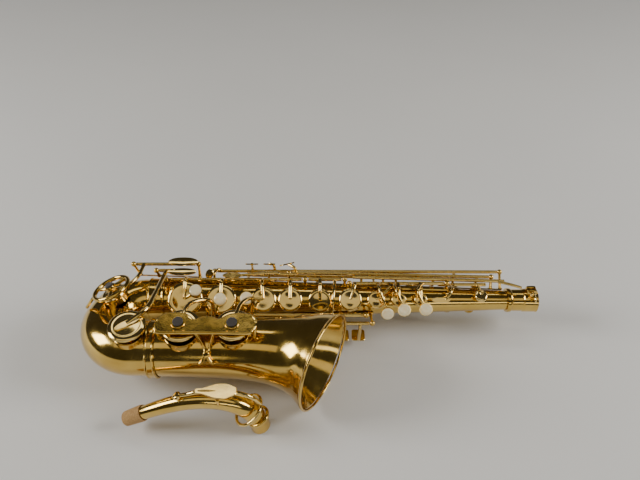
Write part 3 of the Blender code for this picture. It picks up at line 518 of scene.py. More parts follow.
def bow():
    path = [Vector((BODY_START - GAP, 0, 0))]
    steps = 30
    for step in range(steps + 1):
        turn = math.pi * step / steps
        rise = BOW_RISE * (0.5 - 0.5 * math.cos(turn))
        x = BOW_CENTRE_X - BOW_ARC * math.sin(turn)
        path.append(Vector((x, -BOW_ARC + BOW_ARC * math.cos(turn), rise)))
    path.append(Vector((BELL_START + BELL_JOINT - GAP, -2 * BOW_ARC, BOW_RISE)))
    last = len(path) - 1
    outer = [BODY_RADIUS_START + BOW_GROWTH * index / last for index in range(last + 1)]
    shape = Shape().pipe(path, outer, [radius - WALL for radius in outer], 72)
    obj = piece("bow", "lacquer", shape)
    holes = [(centre, axis, (-18, 3), -9.0, 0.0, radius)
             for centre, axis, radius in (LOW_C_HOLE, LOW_EB_HOLE)]
    tone_holes("bow_tone_holes", obj, holes, 48)


def bell():
    stations = [BELL_JOINT + 3.5 * step for step in range(40)] + [150.0 + 1.5 * step for step in range(46)]
    stations.append(BELL_LENGTH)
    path = [bell_centre(s)[0] for s in stations]
    outer = [bell_radius(s) for s in stations]
    shape = Shape().pipe(path, outer, [radius - WALL for radius in outer], 96)
    obj = piece("bell", "lacquer", shape)
    holes = []
    for s, angle, radius in BELL_HOLES.values():
        centre = bell_centre(s)[0]
        axis = around_bell(s, angle, 1.0) - centre
        height = bell_radius(s) + CHIMNEY + 1.0
        root = math.sqrt(bell_radius(s) ** 2 - radius ** 2) - 1.0
        holes.append((centre, axis, (height * 0.5, height + 2), root, height, radius))
    tone_holes("bell_tone_holes", obj, holes, 48)


def bell_rim():
    centre, along = bell_centre(BELL_LENGTH)
    profile = ((1.2, 60.0), (1.2, 61.2), (1.6, 62.1), (2.3, 62.6), (3.0, 62.6), (3.7, 62.1), (4.0, 61.4),
               (3.9, 60.4), (3.2, 59.9), (2.0, 59.8))
    piece("bell_rim", "lacquer", Shape().turned(centre, along, profile, 120, closed=False))


def ferrules():
    radius = BODY_RADIUS_START + GAP
    steps = ((-229.0, 0.8), (-228.6, 1.9), (-227.4, 2.3), (-226.2, 1.9), (-225.8, 1.3), (-209.6, 1.1),
             (-209.2, 1.7), (-207.6, 2.2), (-206.4, 1.7), (-206.0, 0.8))
    outer = [radius + rise for _, rise in steps]
    path = [(x, 0, 0) for x, _ in steps]
    inner = [radius + 0.7 - 0.5 * (x + 229.0) / 23.0 for x, _ in steps]
    piece("body_bow_ferrule", "lacquer", Shape().pipe(path, outer, inner, 72))
    steps = ((-209.0, 35.7), (-208.7, 36.5), (-207.6, 36.9), (-206.4, 36.5), (-205.9, 36.0), (-200.2, 36.0),
             (-199.7, 36.5), (-198.5, 36.9), (-197.3, 36.4), (-197.0, 35.7))
    path = [(x, -2 * BOW_ARC, BOW_RISE) for x, _ in steps]
    piece("bell_bow_ring", "lacquer", Shape().pipe(path, [r for _, r in steps], [34.8] * len(steps), 84))


def neck_receiver():
    base = RECEIVER_RADIUS
    steps = ((BODY_END + GAP, 1.0), (253.2, 1.6), (257.2, 1.6), (258.2, 0.9), (259.0, 0.0), (273.6, 0.0),
             (274.6, 0.9), (290.6, 1.0), (291.6, 1.5), (292.6, 1.5), (RECEIVER_END, 1.0))
    path = [(x, 0, 0) for x, _ in steps]
    shape = Shape().pipe(path, [base + rise for _, rise in steps], [BORE_RADIUS] * len(steps), 64)
    obj = piece("neck_receiver", "lacquer", shape)
    slit = [(x, -0.7, z) for x, z in ((272, 8), (272, 26), (296, 26), (296, 8))]
    cut_holes(obj, [("slab", (slit, (0, 1, 0), 1.4, 0.0))])
    lugs = Shape()
    corners = ((277, 13.5), (277, 20), (279, 23), (288, 23), (290, 20), (290, 13.5))
    for y in (-1.2, 1.2):
        outline = smooth_path([(x, y, z) for x, z in corners], 4)
        lugs.slab(outline, (0, math.copysign(1, y), 0), 3.6, 0.4)
    make("neck_receiver_lugs", "lacquer", lugs, "body")


def neck_screw():
    shaft = Vector((283.5, 0, 19.5))
    shape = Shape().tube([shaft + Vector((0, y, 0)) for y in (-8.5, 6.5)], 1.9, 20)
    collar = [(0.0, 2.2), (0.2, 3.6), (0.8, 4.0), (1.5, 4.0), (2.2, 3.4), (2.6, 2.0)]
    shape.turned(shaft + Vector((0, -7.4, 0)), (0, -1, 0), collar, 28)
    paddle = oval(shaft + Vector((-1.0, -15.5, 0)), (0, 1, 0), (0, 0, 1), 6.5, 5.0, 32)
    shape.slab(paddle, (1, 0, 0), 2.0, 0.6)
    piece("neck_screw", "key_lacquer", shape, shaft)


# ---- posts, rails and key parts

LOWER_ROD = (7.0, 33.0)
UPPER_ROD = (5.0, 27.6)


def rod_point(rod, x):
    return Vector((x, rod[0], rod[1]))


def key_cup(shape, centre, normal, radius):
    """A pad cup: beaded rim, shoulder, and a low domed top."""
    profile = ((0.0, 0.90), (0.2, 0.97), (0.7, 1.0), (1.7, 1.0), (2.1, 0.985), (3.2, 0.98), (4.1, 0.93),
               (4.7, 0.84), (4.9, 0.76), (4.75, 0.72), (4.8, 0.66), (5.3, 0.45), (5.7, 0.22), (5.85, 0.0))
    shape.turned(centre, normal, [(height, radius * share) for height, share in profile], 48)


def cup_back(seat, normal):
    return seat + normal * CUP_BACK


def hinge(shape, start, end):
    """A key's rod tube, with turned ends."""
    start = Vector(start)
    end = Vector(end)
    along = (end - start).normalized()
    length = (end - start).length
    ends = ((0.0, 2.0), (0.3, ROD), (1.8, ROD), (2.1, 2.0), (2.6, 2.0), (2.9, ROD))
    far = tuple((length - place, radius) for place, radius in reversed(ends))
    shape.turned(start, along, ends + ((length / 2, ROD),) + far, 20)


def arm(shape, points, start, end):
    path = smooth_path(points, 6)
    last = len(path) - 1
    radii = [start + (end - start) * index / last for index in range(last + 1)]
    shape.tube(path, radii, 14)


def closed_seat(hole):
    x, angle, _ = BODY_HOLES[hole]
    return on_body(x, angle, CHIMNEY + GAP), outward(angle)


def over_chimney(hole, x):
    _, angle, radius = BODY_HOLES[hole]
    above = on_body(x, angle, CHIMNEY + GAP + 4.2)
    return around_body(0, angle + 90, radius + 6.0) + above


def pearl_holder(shape, centre, normal):
    radius = PEARL_HOLDER_RADIUS
    profile = ((-2.4, radius * 0.35), (-2.2, radius * 0.6), (-1.2, radius * 0.9), (-0.6, radius + 0.7),
               (0.2, radius + 0.8), (0.6, radius + 0.6))
    shape.turned(centre, normal, profile, 36)


def pearl(node, centre, normal, pivot, opened):
    radius = PEARL_RADIUS
    profile = ((0.6 + GAP, radius - 0.2), (1.1, radius), (1.8, radius - 0.1), (2.5, radius * 0.90),
               (2.9, radius * 0.74), (3.05, radius * 0.5), (2.95, radius * 0.25), (2.9, 0.0))
    piece(node, "pearl", Shape().turned(centre, normal, profile, 40), pivot, opened)


def post(shape, foot, head, spread=3.4):
    """A ball post with a flanged foot."""
    foot = Vector(foot)
    head = Vector(head)
    tall = (head - foot).length
    profile = ((0.0, spread), (0.6, spread - 0.3), (1.2, 2.2), (tall * 0.5, 1.75), (tall - 2.6, 1.8),
               (tall - 1.0, 2.0))
    shape.turned(foot, head - foot, profile, 20)
    shape.ball(head)


def strip(shape, x0, x1, angle, width, lift, thick):
    """A ribbon of metal along the body tube, with rounded ends."""
    normal = outward(angle)
    across = across_tube(normal)
    half = width / 2
    outline = []
    for x, begin in ((x1 - half, -90.0), (x0 + half, 90.0)):
        middle = on_body(x, angle, lift)
        for step in range(13):
            turn = math.radians(begin + 180.0 * step / 12)
            outline.append(middle + X_AXIS * (math.cos(turn) * half) + across * (math.sin(turn) * half))
    shape.slab(outline, normal, thick, 0.3)


def rail(node, x0, x1, angle, posts, width=7.0):
    shape = Shape()
    strip(shape, x0, x1, angle, width, GAP + 0.2, 2.0)
    for x, head in posts:
        post(shape, on_body(x, angle, GAP + 1.8), head)
    piece(node, "lacquer", shape)


def rails():
    lower = [(max(x, -200.0), rod_point(LOWER_ROD, x)) for x in (-205.0, -20.0, 33.0)]
    rail("lower_stack_rail", -203, 36, 111, lower)
    upper = [(x, rod_point(UPPER_ROD, x)) for x in (39.5, 170.0)]
    rail("upper_stack_rail", 37, 174, 108, upper)


def under_pad(name, body, seat, normal, radius, pivot, opened):
    """The dark leather face under an open cup."""
    profile = ((-0.25, radius * 0.80), (-0.2, radius * 0.86), (0.3, radius * 0.89))
    make(name, "pad", Shape().turned(seat, normal, profile, 40), body, (), pivot, opened)


STACK_KEYS = {
    "d_key": ("d", 23.0, LOWER_ROD, (-201.0, -152.4), -176.0),
    "e_key": ("e", 20.0, LOWER_ROD, (-152.0, -100.4), -129.0),
    "f_key": ("f", 17.0, LOWER_ROD, (-100.0, -56.2), -76.0),
    "f_sharp_key": ("f_sharp", 16.2, LOWER_ROD, (-55.8, -24.2), -39.0),
    "g_sharp_key": ("g", 16.2, LOWER_ROD, (-15.8, 28.8), 0.0),
    "g_key": ("a", 15.6, UPPER_ROD, (43.6, 79.8), 46.0),
    "a_key": ("b", 12.2, UPPER_ROD, (80.2, 99.8), 92.0),
    "bis_key": ("bis", 10.4, UPPER_ROD, (100.2, 118.0), 104.0),
    "b_key": ("c", 9.2, UPPER_ROD, (118.4, 165.8), 133.0),
}
PEARLS = {
    "d_pearl": ("d_key", -161.0, 60.0, 41.5),
    "e_pearl": ("e_key", -129.5, 45.0, 36.2),
    "f_pearl": ("f_key", -95.5, 47.0, 36.0),
    "g_pearl": ("g_key", 88.0, 14.0, 36.0),
    "a_pearl": ("a_key", 109.5, 22.0, 36.2),
    "b_pearl": ("b_key", 138.0, 22.0, 33.5),
}


def stack_keys():
    for node, (hole, radius, rod, ends, arm_x) in STACK_KEYS.items():
        seat, normal = closed_seat(hole)
        back = cup_back(seat, normal)
        shape = Shape()
        hinge(shape, rod_point(rod, ends[0]), rod_point(rod, ends[1]))
        arm(shape, [rod_point(rod, arm_x), over_chimney(hole, arm_x), back], 2.6, 2.0)
        key_cup(shape, seat, normal, radius)
        pivot = rod_point(rod, (ends[0] + ends[1]) / 2)
        opened = 0.0 if node == "g_sharp_key" else STACK_OPEN
        for name, (owner, x, angle, distance) in PEARLS.items():
            if owner != node:
                continue
            top = around_body(x, angle, distance)
            facing = outward(angle)
            pearl_holder(shape, top, facing)
            if rod is UPPER_ROD:
                root = rod_point(rod, min(ends[1] - 3.0, x))
                arm(shape, [root, around_body(x - 10, 62, distance + 1.5), top - facing * 1.4], 2.2, 1.8)
            elif abs(x - BODY_HOLES[hole][0]) > 5:
                arm(shape, [back - normal * 1.5, top - facing * 2.2], 2.2, 2.2)
            pearl(name, top, facing, pivot, STACK_OPEN)
        if node == "g_sharp_key":
            lever = [rod_point(rod, 20), around_body(17, 50, 31), around_body(15, 0, 30),
                     around_body(14, -38, 34), (24, -14, -33)]
            arm(shape, lever, 2.2, 2.0)
            shape.slab(rounded(28, -12, 8, 6, -32.0), (0, 0, -1), 2.2, 0.5)
        piece(node, "key_lacquer", shape, pivot, opened)
        if opened:
            under_pad(node + "_leather", node_body(node), seat, normal, radius, pivot, opened)


def rounded(x, y, half_x, half_y, z, corner=3.0):
    """A rounded rectangle in a plane of constant z."""
    outline = []
    for sx, sy, begin in ((1, 1, 0), (-1, 1, 90), (-1, -1, 180), (1, -1, 270)):
        for step in range(6):
            turn = math.radians(begin + 90.0 * step / 5)
            outline.append(Vector((x + sx * (half_x - corner) + corner * math.cos(turn),
                                   y + sy * (half_y - corner) + corner * math.sin(turn), z)))
    return outline


def c_key():
    seat, normal = closed_seat("front")
    rod = (Vector((174.5, 5, 25.0)), Vector((222, 5, 25.0)))
    shape = Shape()
    hinge(shape, *rod)
    key_cup(shape, seat, normal, 8.4)
    shape.slab(oval(around_body(157, 42, 35), (1, 0, 0), (0, 0.7, 0.7), 12, 3.6), (0, -0.7, 0.7), 1.8)
    arm(shape, [rod[0] + X_AXIS * 4, around_body(172, 62, 36), around_body(163, 42, 35.8)], 2.2, 1.8)
    arm(shape, [rod[0].lerp(rod[1], 0.76), cup_back(seat, normal)], 2.2, 1.8)
    piece("c_key", "key_lacquer", shape, rod[0], STACK_OPEN)


# ---- little-finger and bow keys

LOW_EB_ROD = (Vector((-246, 24, 45.0)), Vector((-167, 24, 45.0)))
LOW_C_CUP = 22.5
LOW_C_ROD = (Vector((-214.8, 16, 41.0)), Vector((-197.6, 16, 41.0)))


def pinky_rail():
    shape = Shape()
    normal = outward(128)
    strip(shape, -245, -160, 128, 7.0, GAP + 4.2, 1.6)
    heads = ((LOW_EB_ROD[0] - X_AXIS * 4, -243), (LOW_EB_ROD[1] + X_AXIS * 4, -163),
             (LOW_C_ROD[0] - X_AXIS * 3.9, -218))
    for head, foot_x in heads:
        post(shape, on_body(foot_x, 128, GAP + 5.0), head, 3.0)
    sole = on_body(-182, 128, GAP)
    shape.turned(sole, normal, ((0.0, 4.5), (0.6, 4.5), (1.4, 3.6), (4.4, 3.6), (5.0, 4.0)), 24)
    piece("pinky_key_rail", "lacquer", shape)


def pinky_touch(shape, centre, half_length, half_width):
    outline = oval(centre, X_AXIS, (0, 0.98, 0.2), half_length, half_width)
    shape.slab(outline, (0, -0.2, 0.98), 2.2, 0.7, 0.6)


def low_eb_key():
    centre, normal, _ = LOW_EB_HOLE
    seat = centre + normal * GAP
    back = cup_back(seat, normal)
    shape = Shape()
    hinge(shape, *LOW_EB_ROD)
    key_cup(shape, seat, normal, 17.0)
    bends = [(-238, 0, 47), (-247, -15, 47)]
    arm(shape, [LOW_EB_ROD[0] + X_AXIS * 10] + bends + [back], 2.6, 2.2)
    pinky_touch(shape, (-182, 21.5, 51), 20, 7.0)
    arm(shape, [(-186, 24, 45), (-186, 22, 52)], 3.0, 3.0)
    piece("low_eb_key", "key_lacquer", shape, LOW_EB_ROD[0])


def low_c_key():
    centre, normal, _ = LOW_C_HOLE
    seat = centre + normal * GAP
    back = cup_back(seat, normal)
    shape = Shape()
    hinge(shape, *LOW_C_ROD)
    key_cup(shape, seat, normal, LOW_C_CUP)
    bends = [(-205, -20, 49), (-205, -50, 56), (-208, -76, 60)]
    arm(shape, [LOW_C_ROD[0] + X_AXIS * 9.8] + bends + [back], 3.0, 3.4)
    toward = Vector((0.83, 0.55, 0.07)).normalized()
    leaf = oval(seat + normal * 4.8 + toward * 2.0, toward, normal.cross(toward), 17, 4.8)
    shape.slab(leaf, normal, 2.6, 0.9)
    pinky_touch(shape, (-182, 7, 45.5), 19, 6.0)
    arm(shape, [LOW_C_ROD[1] - X_AXIS * 3.4, (-192, 9, 46.5)], 2.4, 2.4)
    piece("low_c_key", "key_lacquer", shape, LOW_C_ROD[0], LOW_C_OPEN)
    body = node_body("low_c_key")
    under_pad("low_c_key_leather", body, seat, normal, LOW_C_CUP, LOW_C_ROD[0], LOW_C_OPEN)


GUARD_RING = 22.5
GUARD_BOSS = 4.4


def low_eb_guard():
    centre = Vector((-263, -32, 57.0))
    normal = LOW_EB_HOLE[1]
    side = Vector((0, 1, 0)).cross(normal).normalized()
    up = normal.cross(side)
    shape = Shape().hoop(centre, side, up, GUARD_RING, 2.8, 64, 16)
    for step in range(3):
        turn = 2 * math.pi * (step + 0.4) / 3
        out = side * math.cos(turn) + up * math.sin(turn)
        shape.tube([centre, centre + out * 12, centre + out * GUARD_RING], [3.4, 2.6, 2.8], 16, 0.8)
    boss = ((-3.0, 5.6), (-2.6, 6.3), (-1.8, 6.5), (3.6, 6.5), (4.1, 6.3), (GUARD_BOSS, 5.6))
    shape.turned(centre, normal, boss, 36)
    for degrees, foot in ((201, (-297.5, -42, 31.8)), (77, (-258, 5, 32.5))):
        turn = math.radians(degrees)
        out = side * math.cos(turn) + up * math.sin(turn)
        shape.tube([centre + out * GUARD_RING, foot], 2.0, 14)
    piece("low_eb_guard", "lacquer", shape)
    felt = ((GUARD_BOSS + GAP, 4.7), (GUARD_BOSS + 0.6, 5.0), (GUARD_BOSS + 2.0, 5.0),
            (GUARD_BOSS + 2.4, 4.6))
    piece("low_eb_guard_felt", "felt", Shape().turned(centre, normal, felt, 32))


# ---- bell keys

LOW_B_ROD = (-42.0, 17.0)
LOW_BB_ROD = (-47.0, 7.0)
C_SHARP_ROD = (-43.0, -9.0)


def bell_seat(hole, lift=GAP):
    s, angle, _ = BELL_HOLES[hole]
    centre = bell_centre(s)[0]
    top = on_bell(s, angle, CHIMNEY + 1.0 + lift)
    return top, (top - centre).normalized()


def bell_keys():
    table = {"low_b": (LOW_B_ROD, (-96.0, 56.0), 22.0, (30.0, -26.0, -34.0), -38.0),
             "low_bb": (LOW_BB_ROD, (-147.0, 64.0), 23.0, (52.0, -26.0, -34.0), -49.0)}
    for hole, (rod, span, radius, (x, y, z), way_down) in table.items():
        seat, normal = bell_seat(hole, GAP + 1.8)
        start = rod_point(rod, span[0])
        back = cup_back(seat, normal)
        root = rod_point(rod, span[0] + 8)
        shape = Shape()
        hinge(shape, start, rod_point(rod, span[1]))
        over = [(root.x + 2, rod[0] + 2, 44), (seat.x + 6, -66, 60)]
        arm(shape, [root] + over + [back], 2.8, 2.4)
        key_cup(shape, seat, normal, radius)
        arm(shape, [rod_point(rod, x), (x, way_down, 0), (x, -45, -16), (x, -40, -31),
                    (x, y, z - 1)], 2.2, 2.2)
        shape.slab(rounded(x, y - 2, 9, 10, z), (0, 0, -1), 2.2, 0.5)
        piece(hole + "_key", "key_lacquer", shape, start, BELL_KEY_OPEN)
        face = radius * 0.84
        disc = ((-1.5, face - 0.9), (-1.35, face - 0.3), (-0.9, face), (0.0, face))
        pad = Shape().turned(seat - normal * GAP, normal, disc, 48)
        piece(hole + "_pad", "pad", pad, start, BELL_KEY_OPEN)
    seat, normal = bell_seat("low_c_sharp")
    start = rod_point(C_SHARP_ROD, -118)
    shape = Shape()
    hinge(shape, start, rod_point(C_SHARP_ROD, 20))
    key_cup(shape, seat, normal, 19.5)
    back = cup_back(seat, normal)
    arm(shape, [rod_point(C_SHARP_ROD, -108), (-108, -60, -32), back], 2.4, 2.2)
    arm(shape, [rod_point(C_SHARP_ROD, 8), (8, -38, -22), (8, -30, -34)], 2.2, 2.2)
    shape.slab(rounded(7, -29, 11, 9, -33.0), (0, 0, -1), 2.2, 0.5)
    piece("low_c_sharp_key", "key_lacquer", shape, start)


def bell_key_rail():
    shape = Shape()
    spots = ((LOW_B_ROD, -99.9), (LOW_B_ROD, 59.9), (LOW_BB_ROD, -150.9), (LOW_BB_ROD, 67.9),
             (C_SHARP_ROD, -121.9), (C_SHARP_ROD, 23.9))
    for rod, x in spots:
        post(shape, on_body(x, -16, GAP + 2.0), rod_point(rod, x), 3.2)
    strip(shape, -156, 72, -16, 9.0, GAP + 0.2, 2.2)
    piece("bell_key_rail", "lacquer", shape)


GUARD_OUTLINE = ((22, 4), (24, 9), (29, 12), (60, 12.5), (100, 12.5), (131, 12), (137, 8), (140, 2),
                 (139, -6), (133, -12), (122, -13.5), (108, -12), (96, -5), (87, -8), (77, -8), (67, -4),
                 (58, -11), (47, -13.5), (34, -12.5), (26, -8), (22, -2))
GUARD_EDGE = 8
GUARD_HEIGHT = 56.5
GUARD_MIDDLE = 81.0


def guard_point(s, across, lift):
    angle = BELL_HOLES["low_b"][1]
    centre, along = bell_centre(s)
    normal = (around_bell(s, angle, 1.0) - centre).normalized()
    return centre + normal * (GUARD_HEIGHT + lift) + along.cross(normal) * across


def bell_key_guard():
    middle = guard_point(GUARD_MIDDLE, 0, 0)
    normal = guard_point(GUARD_MIDDLE, 0, 1) - middle
    flat = []
    for s, across in GUARD_OUTLINE:
        point = guard_point(s, across, 0)
        flat.append(point - normal * (point - middle).dot(normal))
    edge = smooth_path(flat + flat[:1], 5)[:-1]
    shape = Shape().slab(edge, normal, 2.0, 0.5)
    shape.tube([point + normal for point in smooth_path(flat[:GUARD_EDGE], 5)], 2.2, 16)
    rail_edge = smooth_path(flat[GUARD_EDGE - 1:], 5)
    shape.tube([point + normal for point in rail_edge[3:]], 1.5, 12)
    for hole in ("low_b", "low_bb"):
        point = guard_point(BELL_HOLES[hole][0], 0, 0)
        centre = point - normal * (point - middle).dot(normal)
        cup = ((-1.6, 7.8), (-1.2, 8.4), (3.4, 8.5), (4.0, 8.1), (4.0, 6.6), (2.6, 6.4))
        shape.turned(centre, normal, cup, 40)
        felt = ((4.0 + GAP, 5.6), (4.6, 6.0), (5.6, 6.0), (6.0, 5.6))
        piece("guard_felt_" + hole, "felt", Shape().turned(centre, normal, felt, 32))
    for s, corner in ((24.0, flat[1]), (138.0, flat[GUARD_EDGE - 1])):
        foot = on_bell(s, 72.0, GAP + 1.4)
        top = corner + normal * 0.5
        shape.tube([top, top.lerp(foot, 0.5), foot], [2.3, 1.9, 2.3], 16)
    for side in (-1, 1):
        leg = [guard_point(GUARD_MIDDLE + side * 11, 12.0, 0.5)]
        for away, angle in ((4.0, 56), (1.5, 46), (1.5, 38), (5.0, 29), (9.0, 24)):
            s = GUARD_MIDDLE + side * away
            leg.append(on_bell(s, angle, GAP + 2.5))
        shape.tube(smooth_path(leg, 5), 1.9, 14)
    boss = on_bell(GUARD_MIDDLE, 42, GAP + 1.0)
    away = around_bell(GUARD_MIDDLE, 42, 1.0) - bell_centre(GUARD_MIDDLE)[0]
    shape.turned(boss, away, ((0.0, 3.4), (0.4, 3.8), (4.2, 3.8), (4.8, 3.3), (5.0, 2.4)), 24)
    piece("bell_key_guard", "lacquer", shape)


def bell_brace():
    foot = on_body(-138, -42, GAP + 0.3)
    away = outward(-42)
    bell_foot = on_bell(75, 218, GAP + 0.5)
    bell_away = (bell_foot - bell_centre(75)[0]).normalized()
    flange = ((0.0, 7.6), (0.4, 8.0), (1.4, 8.0), (2.0, 7.4), (2.6, 4.6))
    shape = Shape().turned(foot, away, flange, 36)
    shape.turned(bell_foot, bell_away, flange, 36)
    arm(shape, [foot + away, foot + away * 8, bell_foot + bell_away * 8, bell_foot + bell_away], 3.4, 3.4)
    piece("bell_brace", "lacquer", shape)


# ---- side keys

SIDE_RODS = {
    "high_f_sharp_key": (Vector((-140, 29.5, 26.5)), Vector((241, 27.0, 27.0))),
    "high_e_key": (Vector((-38, 21.5, 31.0)), Vector((228, 18.5, 26.0))),
    "side_c_key": (Vector((-66, 35.5, 19.0)), Vector((100, 33.5, 17.0))),
    "side_bb_key": (Vector((-96, 38.5, 9.0)), Vector((70, 36.0, 8.0))),
}
SIDE_TOUCHES = {
    "high_e_key": (-45.0, (1, 0, 0.3), 11.0),
    "side_c_key": (-69.0, (1, 0, 0), 8.5),
    "side_bb_key": (-93.0, (1, 0, 0), 9.0),
}
POST_OFFSET = 3.95
SIDE_CUPS = {"high_f_sharp_key": 8.2, "high_e_key": 8.2, "side_c_key": 10.4, "side_bb_key": 11.0}


def side_touch(shape, node, start):
    if node == "high_f_sharp_key":
        centre = Vector((-149.5, 20.5, 30.0))
        shape.slab(oval(centre, (1, 0, 0.3), (0, 0.6, 0.8), 6.0, 6.6), (0, -0.8, 0.6), 1.8, 0.6)
        stem = [start + X_AXIS * 4, Vector((-138, 28, 31)), centre + Vector((2, 0, 1))]
        arm(shape, stem, 2.2, 2.0)
        return
    x, along, half = SIDE_TOUCHES[node]
    centre = Vector((x, 33.0, 35.0))
    shape.slab(oval(centre, along, (0, 0.74, -0.67), half, 6.0), (0, 0.67, 0.74), 1.8, 0.6)
    if node == "high_e_key":
        stem = [start + X_AXIS * 5, start + Vector((4, 2, 7)), centre + Vector((2, -2, 3))]
    else:
        stem = [start + X_AXIS * 4, start + Vector((2, 4, 9)), centre + Vector((0, 1, 0.5))]
    arm(shape, stem, 2.2, 2.0)


def side_keys():
    for node, (start, end) in SIDE_RODS.items():
        seat, normal = closed_seat(node.removesuffix("_key"))
        back = cup_back(seat, normal)
        share = (seat.x - start.x) / (end.x - start.x)
        root = start.lerp(end, share)
        shape = Shape()
        hinge(shape, start, end)
        arm(shape, [root, (root + back) / 2 + Vector((0, 4.0, 2.0)), back], 2.2, 1.8)
        key_cup(shape, seat, normal, SIDE_CUPS[node])
        side_touch(shape, node, start)
        piece(node, "key_lacquer", shape, start)


def side_key_rail():
    posts = []
    for start, end in SIDE_RODS.values():
        for head in (start - X_AXIS * POST_OFFSET, end + X_AXIS * POST_OFFSET):
            posts.append((head.x, head))
    rail("side_key_rail", -148, 248, 131, posts, width=6.0)


def trill_key():
    start = Vector((-60, 13.5, 36.5))
    shape = Shape()
    hinge(shape, start, (-32, 13.5, 36.0))
    arm(shape, [start + X_AXIS * 6, (-68, 12, 40), (-112, 6, 41)], 2.4, 2.0)
    shape.slab(oval((-116, 6, 41), (1, 0, 0), (0, 1, 0.2), 13, 4.5), (0, -0.2, 1), 1.8, 0.6)
    piece("trill_f_sharp_key", "key_lacquer", shape, start)


# ---- left-hand and thumb side

# Angle of the hinge, then the touch's x, angle and height over the body.
PALM_KEYS = {
    "palm_d": (240.0, 100.0, 222.0, 15.0),
    "palm_eb": (228.0, 117.0, 203.0, 15.5),
    "palm_f": (238.0, 177.0, 198.0, 18.0),
}


def palm_keys():
    for hole, (hinge_angle, touch_x, touch_angle, touch_lift) in PALM_KEYS.items():
        seat, normal = closed_seat(hole)
        radius = BODY_HOLES[hole][2] + 2.2
        x = seat.x - 14
        pivot = on_body(x, hinge_angle - 18, 9.0)
        tangent = across_tube(outward(hinge_angle - 18))
        back = cup_back(seat, normal)
        touch = on_body(touch_x, touch_angle, touch_lift)
        facing = outward(touch_angle)
        side = across_tube(facing)
        shape = Shape().tube([pivot - tangent * 5, pivot + tangent * 5], ROD, 20)
        arm(shape, [touch + facing * 0.8, pivot, back], 2.4, 2.0)
        key_cup(shape, seat, normal, radius)
        shape.slab(oval(touch, (1, 0, 0), side, 13, 6.5), facing, 2.0, 0.7, 0.3)
        piece(hole + "_key", "key_lacquer", shape, pivot)


def thumb_pieces():
    base = on_body(-8, 180, GAP)
    corners = ((-12, -5), (12, -5), (12, 5), (-12, 5))
    shape = Shape().slab([base + Vector((x, 0, z)) for x, z in corners], (0, 1, 0), 2.0)
    bends = ((6, 1, 0), (5, 14, 0), (-3, 23, 0), (-12, 24.36, 0))
    hook = smooth_path([base + Vector(bend) for bend in bends])
    last = len(hook) - 1
    shape.tube(hook, [3.6 - 1.0 * index / last for index in range(last + 1)], 20)
    piece("thumb_hook", "lacquer", shape)
    base = on_body(28, 204, GAP)
    out = outward(204)
    tangent = across_tube(out)
    corners = ((-8, -5), (8, -5), (8, 5), (-8, 5))
    shape = Shape().slab([base + Vector((x, 0, 0)) + tangent * y for x, y in corners], out, 2.0)
    shape.hoop(base + out * 10.5, out, tangent, 8.0, 2.2, 48, 14)
    piece("strap_ring", "lacquer", shape)
    base = on_body(124, 180, GAP)
    profile = ((0.0, 8.6), (0.6, 9.0), (1.4, 8.4), (3.0, 8.8), (4.0, 10.0), (4.8, 10.0), (5.6, 9.2),
               (6.0, 7.6), (5.7, 3.0))
    piece("thumb_rest", "lacquer", Shape().turned(base, outward(180), profile, 40))


def octave_keys():
    pivot = on_body(137, 180, 7.0)
    out = outward(180)
    across = across_tube(out)
    shape = Shape().tube([pivot - across * 6, pivot + across * 6], ROD, 20)
    shape.slab(oval(pivot + Vector((-3, 0, 0)) + out * 1.4, (1, 0, 0), across, 9, 5.5), out, 1.8, 0.6)
    arm(shape, [pivot, pivot + X_AXIS * 16 + out * 0.5], 2.2, 1.8)
    piece("octave_thumb_key", "key_lacquer", shape, pivot)
    start = Vector((44, 12.7, 31.5))
    end = Vector((248, 10.9, 25.5))
    shape = Shape()
    hinge(shape, start, end)
    arm(shape, [end - X_AXIS * 9, (255, 2, 28), (268, -3, 27.5)], 2.2, 1.8)
    foot = [(152, 10, 19.5), (152, 20, 12), (153, 25, 4)]
    arm(shape, [start.lerp(end, 0.53)] + foot, 2.2, 1.8)
    piece("octave_rod_key", "key_lacquer", shape, start)


# ---- neck

NECK_Y = -162.0
# The neck's centre line, from the tenon: x and height over the floor.
NECK_LINE = ((-72, 4), (-75, 18), (-81, 33), (-92, 46), (-108, 55), (-128, 58.5), (-150, 56), (-172, 49),
             (-192, 40), (-210, 30.5), (-224, 22.5))
NECK_RADII = (12.2, 12.2, 11.9, 11.5, 11.1, 10.6, 10.0, 9.4, 8.8, 8.2, 7.8)
NECK_WALL = 1.4


def on_neck(x, height, across=0.0):
    return Vector((x, NECK_Y + across, FLOOR + height))


